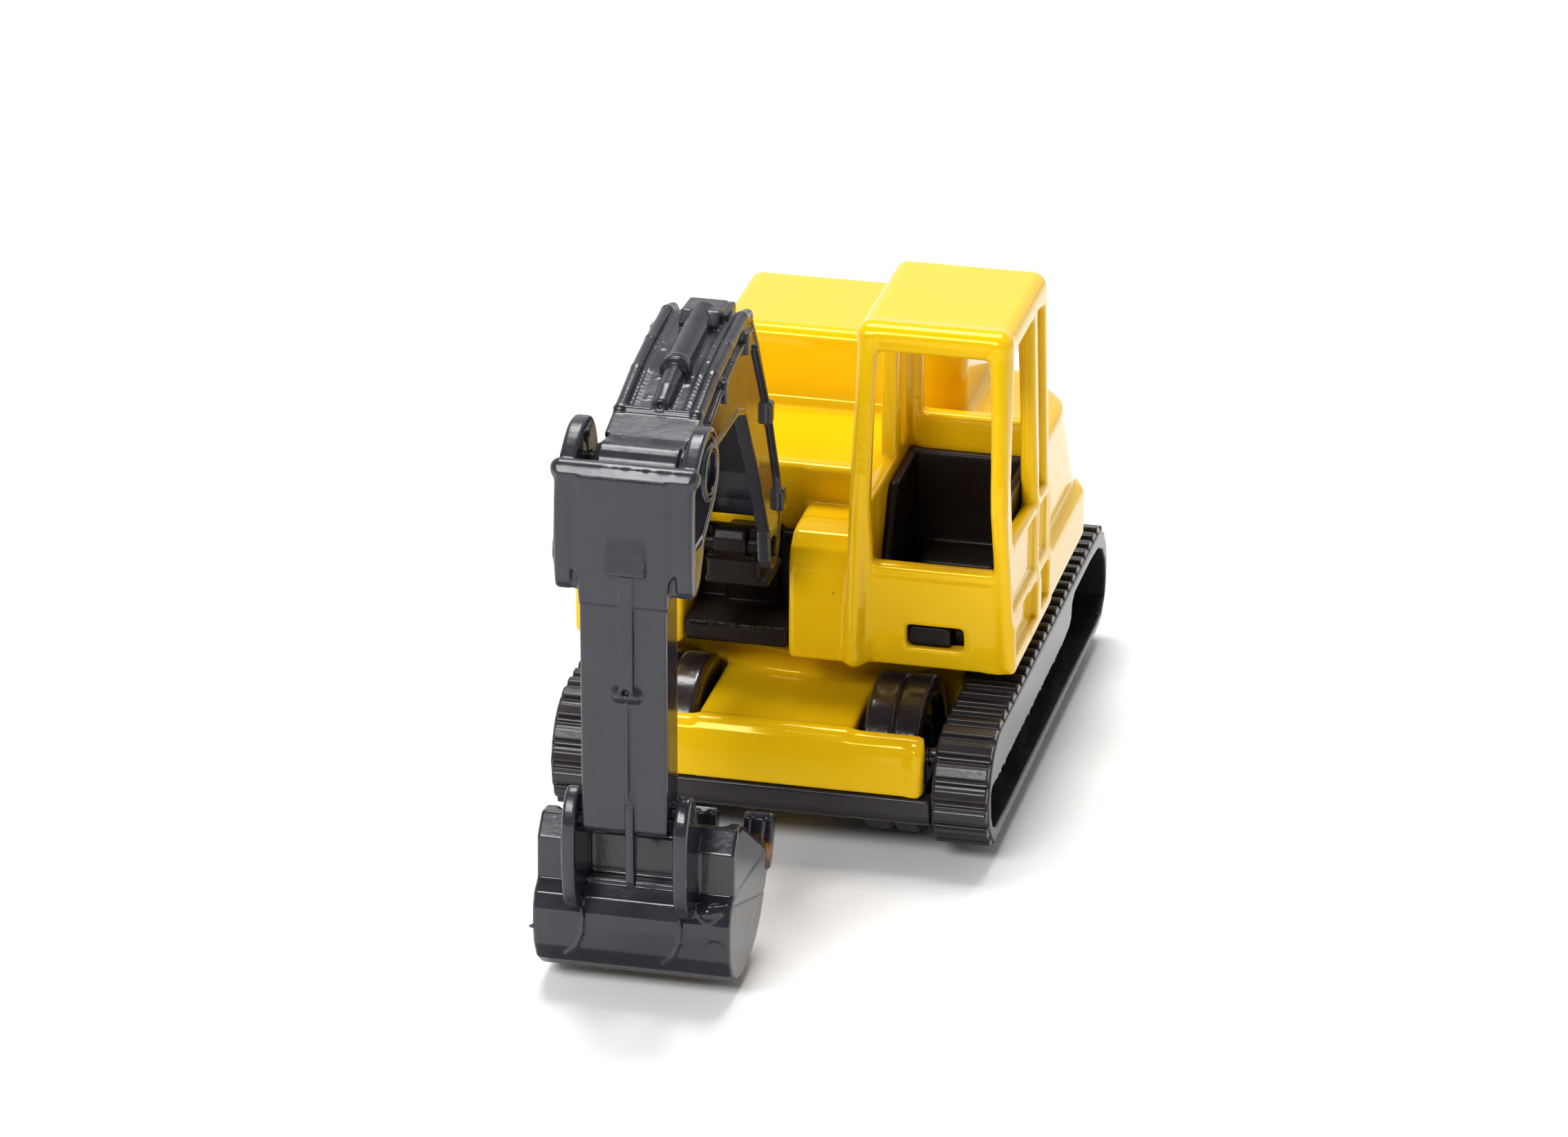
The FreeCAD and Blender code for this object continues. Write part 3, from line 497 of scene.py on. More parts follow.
def black_plastic(name, base, r_front, r_side, specks=1.0, mould=1.0,
                  spec=0.5, rub=None):
    """Injection-moulded black plastic: satin faces, polished flanks, fine
    scratches, pale dust and rubbed spots."""
    m, nt, b = nodes_of(name)
    tcn = node(nt, "ShaderNodeTexCoord")
    tc = tcn.outputs["Object"]
    sep = node(nt, "ShaderNodeSeparateXYZ")
    nt.links.new(tcn.outputs["Normal"], sep.inputs[0])
    side = maprange(nt, math_node(nt, "ABSOLUTE", sep.outputs[0]), 0.75, 0.97,
                    0.0, 1.0)
    big = noise(nt, tc, 260.0, 4.0, 0.6)
    fine = noise(nt, tc, 2600.0, 3.0, 0.6)
    # colour: dark base, greyer rubbed patches, pale specks
    c1 = mix(nt, maprange(nt, big, 0.35, 0.72, 0.0, 1.0), base,
             tuple(min(v * 1.25 + 0.001, 1) for v in base[:3]) + (1,))
    v = node(nt, "ShaderNodeTexVoronoi", Scale=900.0)
    nt.links.new(tc, v.inputs["Vector"])
    speck = maprange(nt, v.outputs["Distance"], 0.05, 0.11, 1.0, 0.0)
    rare = maprange(nt, noise(nt, tc, 520.0, 1.0), 0.66, 0.68, 0.0, 1.0)
    c2 = mix(nt, math_node(nt, "MULTIPLY", speck,
                           math_node(nt, "MULTIPLY", rare, 0.45 * specks)),
             c1, (0.55, 0.53, 0.50, 1))
    if rub:
        # yellow-brown paint rubbed off on one spot
        dn = node(nt, "ShaderNodeVectorMath")
        dn.operation = "DISTANCE"
        nt.links.new(tc, dn.inputs[0])
        dn.inputs[1].default_value = rub[0]
        spot = maprange(nt, dn.outputs["Value"], rub[1] * 0.45, rub[1],
                        1.0, 0.0)
        torn = maprange(nt, noise(nt, tc, 1700.0, 3.0), 0.40, 0.52, 0.0, 0.95)
        c2 = mix(nt, math_node(nt, "MULTIPLY", spot, torn), c2,
                 (0.36, 0.13, 0.012, 1))
    nt.links.new(c2, b.inputs["Base Color"])
    # fine hairline scratches along the long axis
    mp = node(nt, "ShaderNodeMapping")
    mp.inputs["Scale"].default_value = (2400, 2400, 160)
    nt.links.new(tc, mp.inputs[0])
    hair = node(nt, "ShaderNodeTexNoise", Scale=1.0, Detail=4.0)
    nt.links.new(mp.outputs[0], hair.inputs["Vector"])
    rf = maprange(nt, big, 0.3, 0.75, r_front - 0.06, r_front + 0.12)
    rs = maprange(nt, fine, 0.3, 0.7, r_side - 0.03, r_side + 0.05)
    mr = nt.nodes.new("ShaderNodeMix")
    nt.links.new(side, mr.inputs[0])
    nt.links.new(rf, mr.inputs[2])
    nt.links.new(rs, mr.inputs[3])
    nt.links.new(mr.outputs[0], b.inputs["Roughness"])
    # painted shade: reflections are weakened on downward-facing faces so undersides
    # read dark; the rest is polished
    under = maprange(nt, sep.outputs[2], -0.42, -0.18, 0.16 * spec, spec)
    nt.links.new(under, b.inputs["Specular IOR Level"])
    calm = maprange(nt, side, 0.0, 1.0, 1.0, 0.12)
    n1 = bump(nt, math_node(nt, "MULTIPLY", fine, calm), 0.16 * mould, 0.00003)
    n2 = bump(nt, math_node(nt, "MULTIPLY", hair.outputs["Fac"], calm),
              0.10 * mould, 0.00005, n1)
    n3 = bump(nt, math_node(nt, "MULTIPLY", big, calm), 0.30 * mould, 0.00020,
              n2)
    nt.links.new(n3, b.inputs["Normal"])
    return m


def steel():
    m, nt, b = nodes_of("plain_steel")
    tc = node(nt, "ShaderNodeTexCoord").outputs["Object"]
    mp = node(nt, "ShaderNodeMapping")
    mp.inputs["Scale"].default_value = (400, 6000, 6000)
    nt.links.new(tc, mp.inputs[0])
    n = node(nt, "ShaderNodeTexNoise", Scale=1.0, Detail=3.0)
    nt.links.new(mp.outputs[0], n.inputs["Vector"])
    nt.links.new(ramp(nt, n.outputs["Fac"],
                      [(0.3, (0.42, 0.43, 0.45, 1)),
                       (0.7, (0.58, 0.58, 0.60, 1))]), b.inputs["Base Color"])
    b.inputs["Metallic"].default_value = 1.0
    nt.links.new(maprange(nt, n.outputs["Fac"], 0.3, 0.7, 0.22, 0.38),
                 b.inputs["Roughness"])
    nt.links.new(bump(nt, n.outputs["Fac"], 0.2, 0.00003), b.inputs["Normal"])
    return m


YELLOW = yellow_enamel()
ARM = black_plastic("black_moulded", (0.019, 0.019, 0.026, 1), 0.24, 0.07)
BUCKET = black_plastic("black_bucket", (0.017, 0.017, 0.023, 1), 0.20, 0.07,
                       1.2, 1.2, 0.55, ((0.0022, -0.0309, 0.0058), 0.0013))
# the real black plastic of the cab floor insert and the pins, made extra dark, brownish
# and weakly reflective as painted shade for the shaded cab interior, boom slot and pin
# holes
SHADED_INSERT_BLACK = black_plastic("black_insert_shaded", (0.009, 0.006, 0.005, 1), 0.34, 0.20,
                       0.5, 1.0, 0.16)
TRACK = black_plastic("track_black", (0.022, 0.018, 0.020, 1), 0.24, 0.10,
                      0.7, 1.0, 0.34)
WHEEL = black_plastic("wheel_black", (0.022, 0.016, 0.016, 1), 0.16, 0.12,
                      0.5, 1.0, 0.6)
STEEL = steel()

# -------------------------------------------------------------------- house
HF, Z0 = -12.90, 10.84


def house():
    v = Vol((-14.9, -16.0, 10.3), (14.9, 13.3, 34.2), 0.125)
    # deck with a round, slightly sloping tail
    plan = [(-13.47, -7.9), (13.47, -7.9), (13.47, 12.0), (9.0, 12.58),
            (-9.0, 12.58), (-13.47, 12.0)]
    body = ext(plan, "z", Z0, 21.65, 0.55)
    tail_lo, tail_hi = 17.2, 15.0

    def deck(x, y, z):
        d = body.f(x, y, z)
        rr = tail_lo - np.clip((z - 14.6) / 7.05, 0, 1) * (tail_lo - tail_hi)
        c = (np.sqrt(x * x + y * y) - rr) * 0.955
        return np.where(y > 0, smax(d, c, 1.1), d)
    v.add(Prim(body.lo, body.hi, deck))
    skirt = [(-14.17, -7.9), (14.17, -7.9), (14.17, 9.6), (13.6, 11.0),
             (12.2, 11.75), (9.0, 12.58), (-9.0, 12.58), (-12.2, 11.75),
             (-13.6, 11.0), (-14.17, 9.6)]
    v.add(ext(skirt, "z", Z0, 14.7, 0.62), 0.35)
    # front blocks either side of the boom slot
    mid = [(-13.35, Z0), (-13.42, 12.2), (-13.42, 17.0), (-13.05, 18.25),
           (-12.2, 19.02), (-11.2, 19.17), (-7.4, 19.17), (-7.4, Z0)]
    v.add(ext(mid, "x", -0.32, 5.0, 0.5), 0.5)
    left = [(HF, Z0), (HF, 17.0), (-12.55, 18.25), (-11.8, 19.02),
            (-10.9, 19.17), (-7.4, 19.17), (-7.4, Z0)]
    v.add(ext(left, "x", -14.17, -6.98, 0.6), 0.5)
    # hood
    v.add(rbox((-8.64, 2.51, 19.5), (7.65, 12.58, 26.51), 0.85), 0.6)
    # cab shell
    prof = [(HF, Z0), (HF - 0.72, 15.2), (HF - 1.15, 17.7), (-14.68, 20.97),
            (-14.93, 22.3), (-14.88, 23.6), (-12.95, 32.2), (-12.75, 33.0),
            (-12.2, 33.44), (-1.6, 33.44), (-0.95, 32.9), (-0.95, Z0)]
    v.add(ext(prof, "x", 3.98, 13.98, 0.85), 0.35)
    # lower cab side stands a little proud, with a skirt ledge
    v.add(ext([(HF + 0.1, Z0), (HF - 0.45, 14.3), (-1.2, 14.3), (-1.2, Z0)],
              "x", 12.0, 14.17, 0.3), 0.2)
    # rolled header over the windscreen
    v.add(cap((4.75, -12.50, 32.68), (13.15, -12.50, 32.68), 0.76), 0.5)
    # hollow underside
    v.cut(rbox((-12.3, -6.8, 9), (12.3, 9.2, 20.4), 0.4))
    v.cut(rbox((-8.0, 0, 9), (8.0, 11.4, 20.4), 0.4))
    v.cut(rbox((-7.5, 3.6, 15), (6.5, 11.4, 25.4), 0.5))
    v.cut(rbox((0.8, -12.3, 9), (4.4, -5.5, 17.3), 0.4))
    v.cut(rbox((-13.0, -11.8, 9), (-8.1, -5.5, 17.3), 0.4))
    # cab interior
    inner = [(-11.9, 9), (-11.95, 12.0), (-12.9, 17.7), (-13.75, 21.6),
             (-13.8, 22.6), (-11.75, 31.7), (-11.4, 32.3), (-2.0, 32.3),
             (-2.0, 9)]
    v.cut(ext(inner, "x", 5.1, 12.95, 0.35), 0.15)
    # rear wall below the rear window
    v.add(rbox((4.4, -2.05, 19.5), (13.3, -0.98, 24.5), 0.3), 0.3)
    # boom slot between the blocks
    v.cut(rbox((-6.98, -20, 9), (-0.32, -7.9, 40), 0.35), 0.3)
    v.cut(rbox((-6.95, -9.0, 9), (-0.35, -5.9, 15.9), 0.3), 0.2)
    # windscreen, side windows, rear window
    v.cut(ext([(5.25, 18.1), (12.92, 18.1), (12.86, 31.7), (5.17, 31.7)],
              "y", -25, -11.3, 0.5), 0.42)
    door = [(-12.95, 19.9), (-5.95, 19.5), (-5.85, 31.8), (-11.65, 31.8),
            (-13.25, 24.0)]
    rear = [(-4.45, 19.6), (-2.62, 19.6), (-2.62, 31.5), (-4.45, 31.8)]
    for pts in (door, rear):
        v.cut(ext(pts, "x", 12.4, 20.0, 0.4), 0.4)
    door_in = [(-13.15, 22.0), (-5.95, 22.0), (-5.85, 31.8), (-11.65, 31.8),
               (-13.25, 24.0)]
    rear_in = [(-4.45, 22.4), (-2.62, 22.4), (-2.62, 31.5), (-4.45, 31.8)]
    for pts in (door_in, rear_in):
        v.cut(ext(pts, "x", 2.0, 5.6, 0.4), 0.35)
    v.cut(ext([(5.85, 23.5), (12.5, 23.5), (12.5, 31.6), (5.85, 31.6)], "y",
              -2.6, 1.2, 0.4), 0.35)
    # bead down the cab's left front corner, ending in a drip
    v.add(tube([(4.72, -12.62, 32.5), (4.66, -13.5, 28.6), (4.58, -14.33, 24.2),
                (4.50, -14.50, 22.4), (4.38, -14.25, 20.2), (4.26, -13.98, 18.2),
                (4.08, -13.62, 15.0), (3.98, -13.33, 12.2), (4.0, -13.25, 11.2)],
               [0.66, 0.60, 0.60, 0.60, 0.60, 0.60, 0.58, 0.55, 0.60]), 0.28)
    v.add(tube([(13.10, -12.62, 32.5), (13.32, -13.5, 28.6),
                (13.46, -14.40, 24.2), (13.52, -14.62, 22.4),
                (13.52, -14.40, 20.4), (13.55, -13.85, 17.9),
                (13.62, -13.15, 14.0), (13.62, -12.75, 11.6)],
               [0.62, 0.50, 0.46, 0.46, 0.46, 0.46, 0.46, 0.50]), 0.28)
    # groove beside the bead on the lower panel
    v.cut(tube([(5.02, -14.42, 18.3), (4.92, -14.12, 15.5), (4.84, -13.75, 12.3)],
               0.16), 0.25)
    # sill lip under the windscreen, ridge on the small deck
    v.add(cap((5.7, -13.86, 17.62), (12.6, -13.86, 17.62), 0.30), 0.35)
    v.add(cap((0.4, -10.6, 19.02), (3.6, -10.6, 19.02), 0.20), 0.4)
    # slot in the front panel
    v.cut(rbox((7.30, -16, 12.27), (10.93, -11.0, 13.83), 0.28), 0.22)
    # recessed door panels with soft frames on the cab side, skirt ledge
    for pts in ([(-12.75, 15.25), (-12.95, 19.0), (-6.1, 18.9), (-6.1, 15.25)],
                [(-12.3, 12.0), (-12.6, 14.3), (-6.1, 14.3), (-6.1, 12.0)],
                [(-4.6, 15.25), (-4.6, 18.9), (-2.5, 18.9), (-2.5, 15.25)],
                [(-4.6, 12.0), (-4.6, 14.3), (-2.5, 14.3), (-2.5, 12.0)]):
        v.cut(ext(pts, "x", 13.72, 15.0, 0.12), 0.3)
    v.add(tube([(13.74, -5.35, 11.6), (13.70, -5.35, 19.4),
                (13.35, -5.2, 26.0), (13.0, -5.1, 31.9)], 0.33), 0.3)
    v.add(tube([(13.62, -12.6, 19.35), (13.60, -1.6, 19.2)], 0.36), 0.3)
    v.add(tube([(13.66, -12.6, 14.78), (13.66, -1.8, 14.78)], 0.38), 0.3)
    v.add(tube([(13.72, -1.5, 11.6), (13.66, -1.45, 19.0)], 0.36), 0.3)
    # engine bay seams at the back
    v.cut(rbox((-5.6, 12.45, 15.6), (5.6, 13.0, 15.85), 0.08), 0.2)
    v.cut(rbox((-5.6, 12.45, 21.2), (5.6, 13.0, 21.45), 0.08), 0.2)
    P, Q = v.mesh(3)
    # cab sides lean in toward the roof
    t = np.clip((P[:, 2] - 19.0) / 14.4, 0, 1)
    in_cab = (P[:, 1] < -0.55) & (P[:, 0] > 3.35) & (P[:, 2] > 19.0)
    P[:, 0] -= in_cab * t * (0.12 + 0.30 * np.clip((P[:, 0] - 4) / 10, 0, 1))
    return P, Q


def deck_insert():
    v = Vol((-13.2, -16.6, 9.9), (13.6, 12.0, 22.2), 0.125)
    bx = -3.38
    v.add(rbox((-12.3, -6.7, 11.2), (12.3, 9.0, 12.6), 0.12))
    v.add(rbox((-6.9, -12.95, 11.25), (-0.38, -6.0, 12.6), 0.12), 0.1)
    v.add(rbox((5.15, -11.7, 11.2), (12.9, -2.3, 13.2), 0.15), 0.1)
    wall = [(-11.85, 11.2), (-11.85, 14.2), (-10.75, 16.9), (-9.0, 20.6),
            (-8.4, 21.25), (-2.3, 21.28), (-2.3, 11.2)]
    v.add(ext(wall, "x", 5.12, 5.72, 0.2), 0.2)
    v.add(ext(wall, "x", 12.35, 12.93, 0.2), 0.2)
    v.add(rbox((5.15, -3.0, 11.2), (12.9, -2.2, 21.28), 0.22), 0.3)
    v.add(rbox((6.5, -6.6, 12.9), (11.6, -2.6, 15.2), 0.5), 0.3)
    v.add(rbox((7.42, -13.02, 12.36), (10.06, -11.0, 13.66), 0.16), 0.1)
    br = [(-14.85, 16.12), (-14.95, 17.8), (-15.45, 18.2), (-15.92, 18.8),
          (-15.92, 19.55), (-15.55, 20.15), (-14.45, 20.15), (-13.2, 19.1),
          (-11.0, 17.9), (-7.95, 17.6), (-7.95, 12.4), (-9.2, 12.4),
          (-9.9, 15.2), (-11.0, 16.1)]
    v.add(ext(br, "x", bx - 1.70, bx + 1.70, 0.15))
    v.cut(rbox((bx - 2.2, -17.0, 18.3), (bx - 1.1, -15.2, 21.0), 0.15), 0.15)
    v.cut(rbox((bx + 1.05, -17.0, 18.3), (bx + 2.2, -15.2, 21.0), 0.15), 0.15)
    v.add(rbox((bx - 1.83, -14.92, 16.12), (bx + 2.28, -11.0, 16.58), 0.14),
          0.1)
    v.add(rbox((-6.9, -8.85, 12.4), (-0.38, -8.0, 17.35), 0.15), 0.15)
    # flash along the tongue's front edge
    for i in range(26):
        x = -6.7 + 6.1 * rng.random()
        r = 0.05 + 0.07 * rng.random()
        v.add(cap((x, -12.95, 12.5 + 0.1 * rng.random()),
                  (x + 0.3 * rng.random(), -13.02, 12.55), r), 0.08)
    v.cut(cyl("z", (0, 0), 1.67, 9, 16, 0.02))
    v.add(cyl("z", (0, 0), 4.0, 10.35, 11.3, 0.05))
    v.cut(cyl("z", (0, 0), 1.67, 9, 16, 0.02))
    for x in (-9.6, 9.6):
        v.cut(cyl("z", (x, 6.0), 0.85, 10, 16, 0.02))
    return v.mesh(1)


def chassis():
    v = Vol((-10.6, -20.0, 2.0), (10.6, 20.0, 11.0), 0.125)
    f, r = 19.20, 17.86
    for s in (-1, 1):
        bar = [(-f, 4.75), (-f, 6.9), (-f + 0.10, 7.5), (-f + 0.35, 8.05),
               (-f + 0.75, 8.40), (-f + 1.2, 8.50), (-r, 8.50), (-r, 7.2),
               (-f + 0.95, 6.6), (-f + 0.95, 4.75)]
        if s > 0:
            bar = [(-y, z) for y, z in bar]
        v.add(ext(bar, "x", -9.62, 9.62, 0.35), 0.2)
        y = -(f - 0.55) if s < 0 else (f - 0.55)
        for sx in (-1, 1):   # rounded bar ends
            v.add(rbox((min(sx * 9.62, sx * 8.6), min(y - 0.6, y + 0.6), 4.75),
                       (max(sx * 9.62, sx * 8.6), max(y - 0.6, y + 0.6), 8.1),
                       0.5), 0.3)
    v.add(rbox((-4.98, -f + 0.7, 4.72), (4.98, f - 0.7, 8.5), 0.32), 0.45)
    v.add(rbox((-9.9, -7.0, 4.72), (9.9, 7.0, 8.5), 0.35), 0.4)
    v.cut(rbox((-3.85, -17.0, 2), (3.85, 17.0, 7.3), 0.3))
    v.cut(rbox((-8.8, -5.9, 2), (8.8, 5.9, 7.3), 0.3))
    v.add(cyl("z", (0, 0), 10.60, 8.0, 10.30, 0.35), 0.35)
    v.cut(cyl("z", (0, 0), 9.3, 9.95, 11.0, 0.15), 0.2)
    v.add(cyl("z", (0, 0), 9.0, 9.5, 10.27, 0.2), 0.15)
    v.add(cyl("z", (0, 0), 3.0, 4.7, 8.6, 0.2), 0.3)
    for y in (-15.0, 15.0):
        v.add(cyl("z", (0, y), 1.1, 2.75, 8.0, 0.1), 0.2)
        v.add(cyl("z", (0, y), 1.55, 2.47, 2.86, 0.14), 0.1)
    v.cut(cyl("z", (0, 0), 1.60, 0, 20, 0.02))
    for y in (-12.9, 12.9):
        v.cut(cyl("x", (y, 5.0), 0.70, -12, 12, 0.02))
    return v.mesh(3)


def base_plate():
    v = Vol((-10.8, -20.0, 2.2), (10.8, 20.0, 5.3), 0.125)
    f = 19.30
    for s in (-1, 1):
        bar = [(-f + 0.55, 2.80), (-f + 0.15, 3.15), (-f, 3.7), (-f, 4.68),
               (-17.9, 4.68), (-17.9, 2.80)]
        if s > 0:
            bar = [(-y, z) for y, z in bar]
        v.add(ext(bar, "x", -10.24, 10.24, 0.25), 0.1)
    v.add(rbox((-4.95, -f + 0.5, 2.80), (4.95, f - 0.5, 4.68), 0.15), 0.2)
    v.add(rbox((-10.24, -7.0, 2.80), (10.24, 7.0, 4.68), 0.15), 0.2)
    for a, b in ((-5.6, -3.0), (3.0, 5.6)):
        v.cut(rbox((-8.4, a, 2), (8.4, b, 3.3), 0.15), 0.1)
    for y in (-10.6, -17.2, 10.6, 17.2):
        v.add(rbox((-4.4, y - 0.25, 2.6), (4.4, y + 0.25, 3.0), 0.1), 0.15)
    v.cut(cyl("z", (0, 0), 2.7, 2, 3.5, 0.05), 0.1)
    v.cut(cyl("z", (0, 0), 1.62, 0, 8, 0.02))
    for y in (-15, 15):
        v.cut(cyl("z", (0, y), 1.12, 0, 8, 0.02))
    for y in (-12.9, 12.9):
        v.cut(cyl("x", (y, 5.0), 0.70, -12, 12, 0.02))
    return v.mesh(1)


# -------------------------------------------------------------------- tracks
def track_outline(ins):
    y0, y1 = -19.94 + ins, 19.97 - ins
    z0, z1 = 1.10 + ins, 8.90 - ins
    r = (z1 - z0) / 2
    cz = (z0 + z1) / 2
    pts = arc(y0 + r * 1.05, cz, r, 90, 180, 10)[:-1]
    pts += [(y0, cz), (y0 + r * 0.10, cz - r * 0.52),
            (y0 + r * 0.42, cz - r * 0.90), (y0 + r * 0.80, z0)]
    pts += [(y1 - r * 0.80, z0), (y1 - r * 0.42, cz - r * 0.90),
            (y1 - r * 0.10, cz - r * 0.52)]
    pts += arc(y1 - r * 1.05, cz, r, 0, 90, 10)
    return pts


def track(sign):
    v = Vol((9.9, -20.5, 0.6), (14.4, 20.5, 9.4), 0.085)
    base = track_outline(0.44)
    seg = [(a, b, math.hypot(b[0] - a[0], b[1] - a[1]))
           for a, b in zip(base, base[1:] + base[:1])]
    seg = [s for s in seg if s[2] > 1e-6]
    total = sum(s[2] for s in seg)
    n = 62
    prof = [(0.00, 0.0), (0.16, 0.0), (0.20, 0.26), (0.38, 0.28), (0.43, 0.42),
            (0.90, 0.42), (0.96, 0.05)]
    pts = []
    for i in range(n):
        for u, hgt in prof:
            d = total * (i + u) / n
            for a, b, l in seg:
                if d <= l:
                    break
                d -= l
            t = d / l
            ty, tz = (b[0] - a[0]) / l, (b[1] - a[1]) / l
            pts.append((a[0] + t * (b[0] - a[0]) - tz * hgt,
                        a[1] + t * (b[1] - a[1]) + ty * hgt))
    cy = 0.0
    # outward check: the line runs counter-clockwise seen from +X when the
    # signed area is positive
    area = sum(p[0] * q[1] - q[0] * p[1] for p, q in zip(base, base[1:] + base[:1]))
    if area > 0:
        pts = []
        for i in range(n):
            for u, hgt in prof:
                d = total * (i + u) / n
                for a, b, l in seg:
                    if d <= l:
                        break
                    d -= l
                t = d / l
                ty, tz = (b[0] - a[0]) / l, (b[1] - a[1]) / l
                pts.append((a[0] + t * (b[0] - a[0]) + tz * hgt,
                            a[1] + t * (b[1] - a[1]) - ty * hgt))
    v.add(ext(pts, "x", 10.42, 13.86, 0.06))
    v.add(ext(track_outline(0.42), "x", 10.26, 14.0, 0.16), 0.05)
    # deep recess with a wider upper band
    rec = [(-18.85, 4.9), (-18.85, 5.45), (-18.5, 5.75), (4.4, 5.75),
           (6.3, 6.0), (6.9, 6.4), (7.1, 7.3), (7.9, 7.72), (13.3, 7.72),
           (16.0, 7.5), (17.6, 6.75), (18.6, 5.6), (18.95, 4.3), (18.6, 3.0),
           (17.4, 2.2), (15.5, 2.05), (-14.0, 2.25), (-16.9, 2.35),
           (-18.1, 2.9), (-18.7, 3.9)]
    v.cut(ext(rec, "x", 11.45, 15.0, 0.15), 0.12)
    cz = 5.0
    v.add(cyl("x", (9.9, cz + 0.3), 1.70, 11.0, 12.55, 0.3), 0.3)
    v.add(cyl("x", (9.9, cz + 0.3), 0.80, 11.0, 12.95, 0.25), 0.2)
    for y in (-14.5, -7.0, 0.5, 15.2):
        v.add(cyl("x", (y, cz - 1.0), 1.05, 11.0, 12.2, 0.3), 0.25)
    # mould flash along the recess's upper lip
    for i in range(40):
        y = -18.0 + 22.0 * rng.random()
        v.add(cap((13.82, y, 5.72 - 0.1 * rng.random()),
                  (13.9, y + 0.25 * rng.random(), 5.70),
                  0.05 + 0.08 * rng.random()), 0.08)
    P, Q = v.mesh(1)
    if sign < 0:
        P[:, 0] *= -1
        Q = Q[:, ::-1]
    return P, Q


def wheel(sign, y):
    v = Vol((4.9, y - 5.5, -0.4), (9.5, y + 5.5, 10.4), 0.1)
    r = 0.22
    prof = [(5.28 + r, 0.62 + r), (5.28 + r, 4.62 - r), (5.65, 5.0 - r),
            (7.00, 5.0 - r), (7.12, 4.62 - r), (7.42, 4.62 - r),
            (7.56, 5.0 - r), (8.72, 5.0 - r), (9.0 - r, 4.78 - r),
            (9.0 - r, 3.9), (8.35, 3.7), (8.35, 1.8), (8.9 - r, 1.6),
            (8.9 - r, 0.62 + r)]
    v.add(turned(prof, y, 5.0, r))
    P, Q = v.mesh(2)
    if sign < 0:
        P[:, 0] *= -1
        Q = Q[:, ::-1]
    return P, Q


# ----------------------------------------------------------------------- arm
BX, BH = -3.38, 2.72
BOOM_PIV, STICK_PIV, BUCKET_PIV = (-15.0, 19.0), (-38.16, 33.43), (-41.15, 12.75)


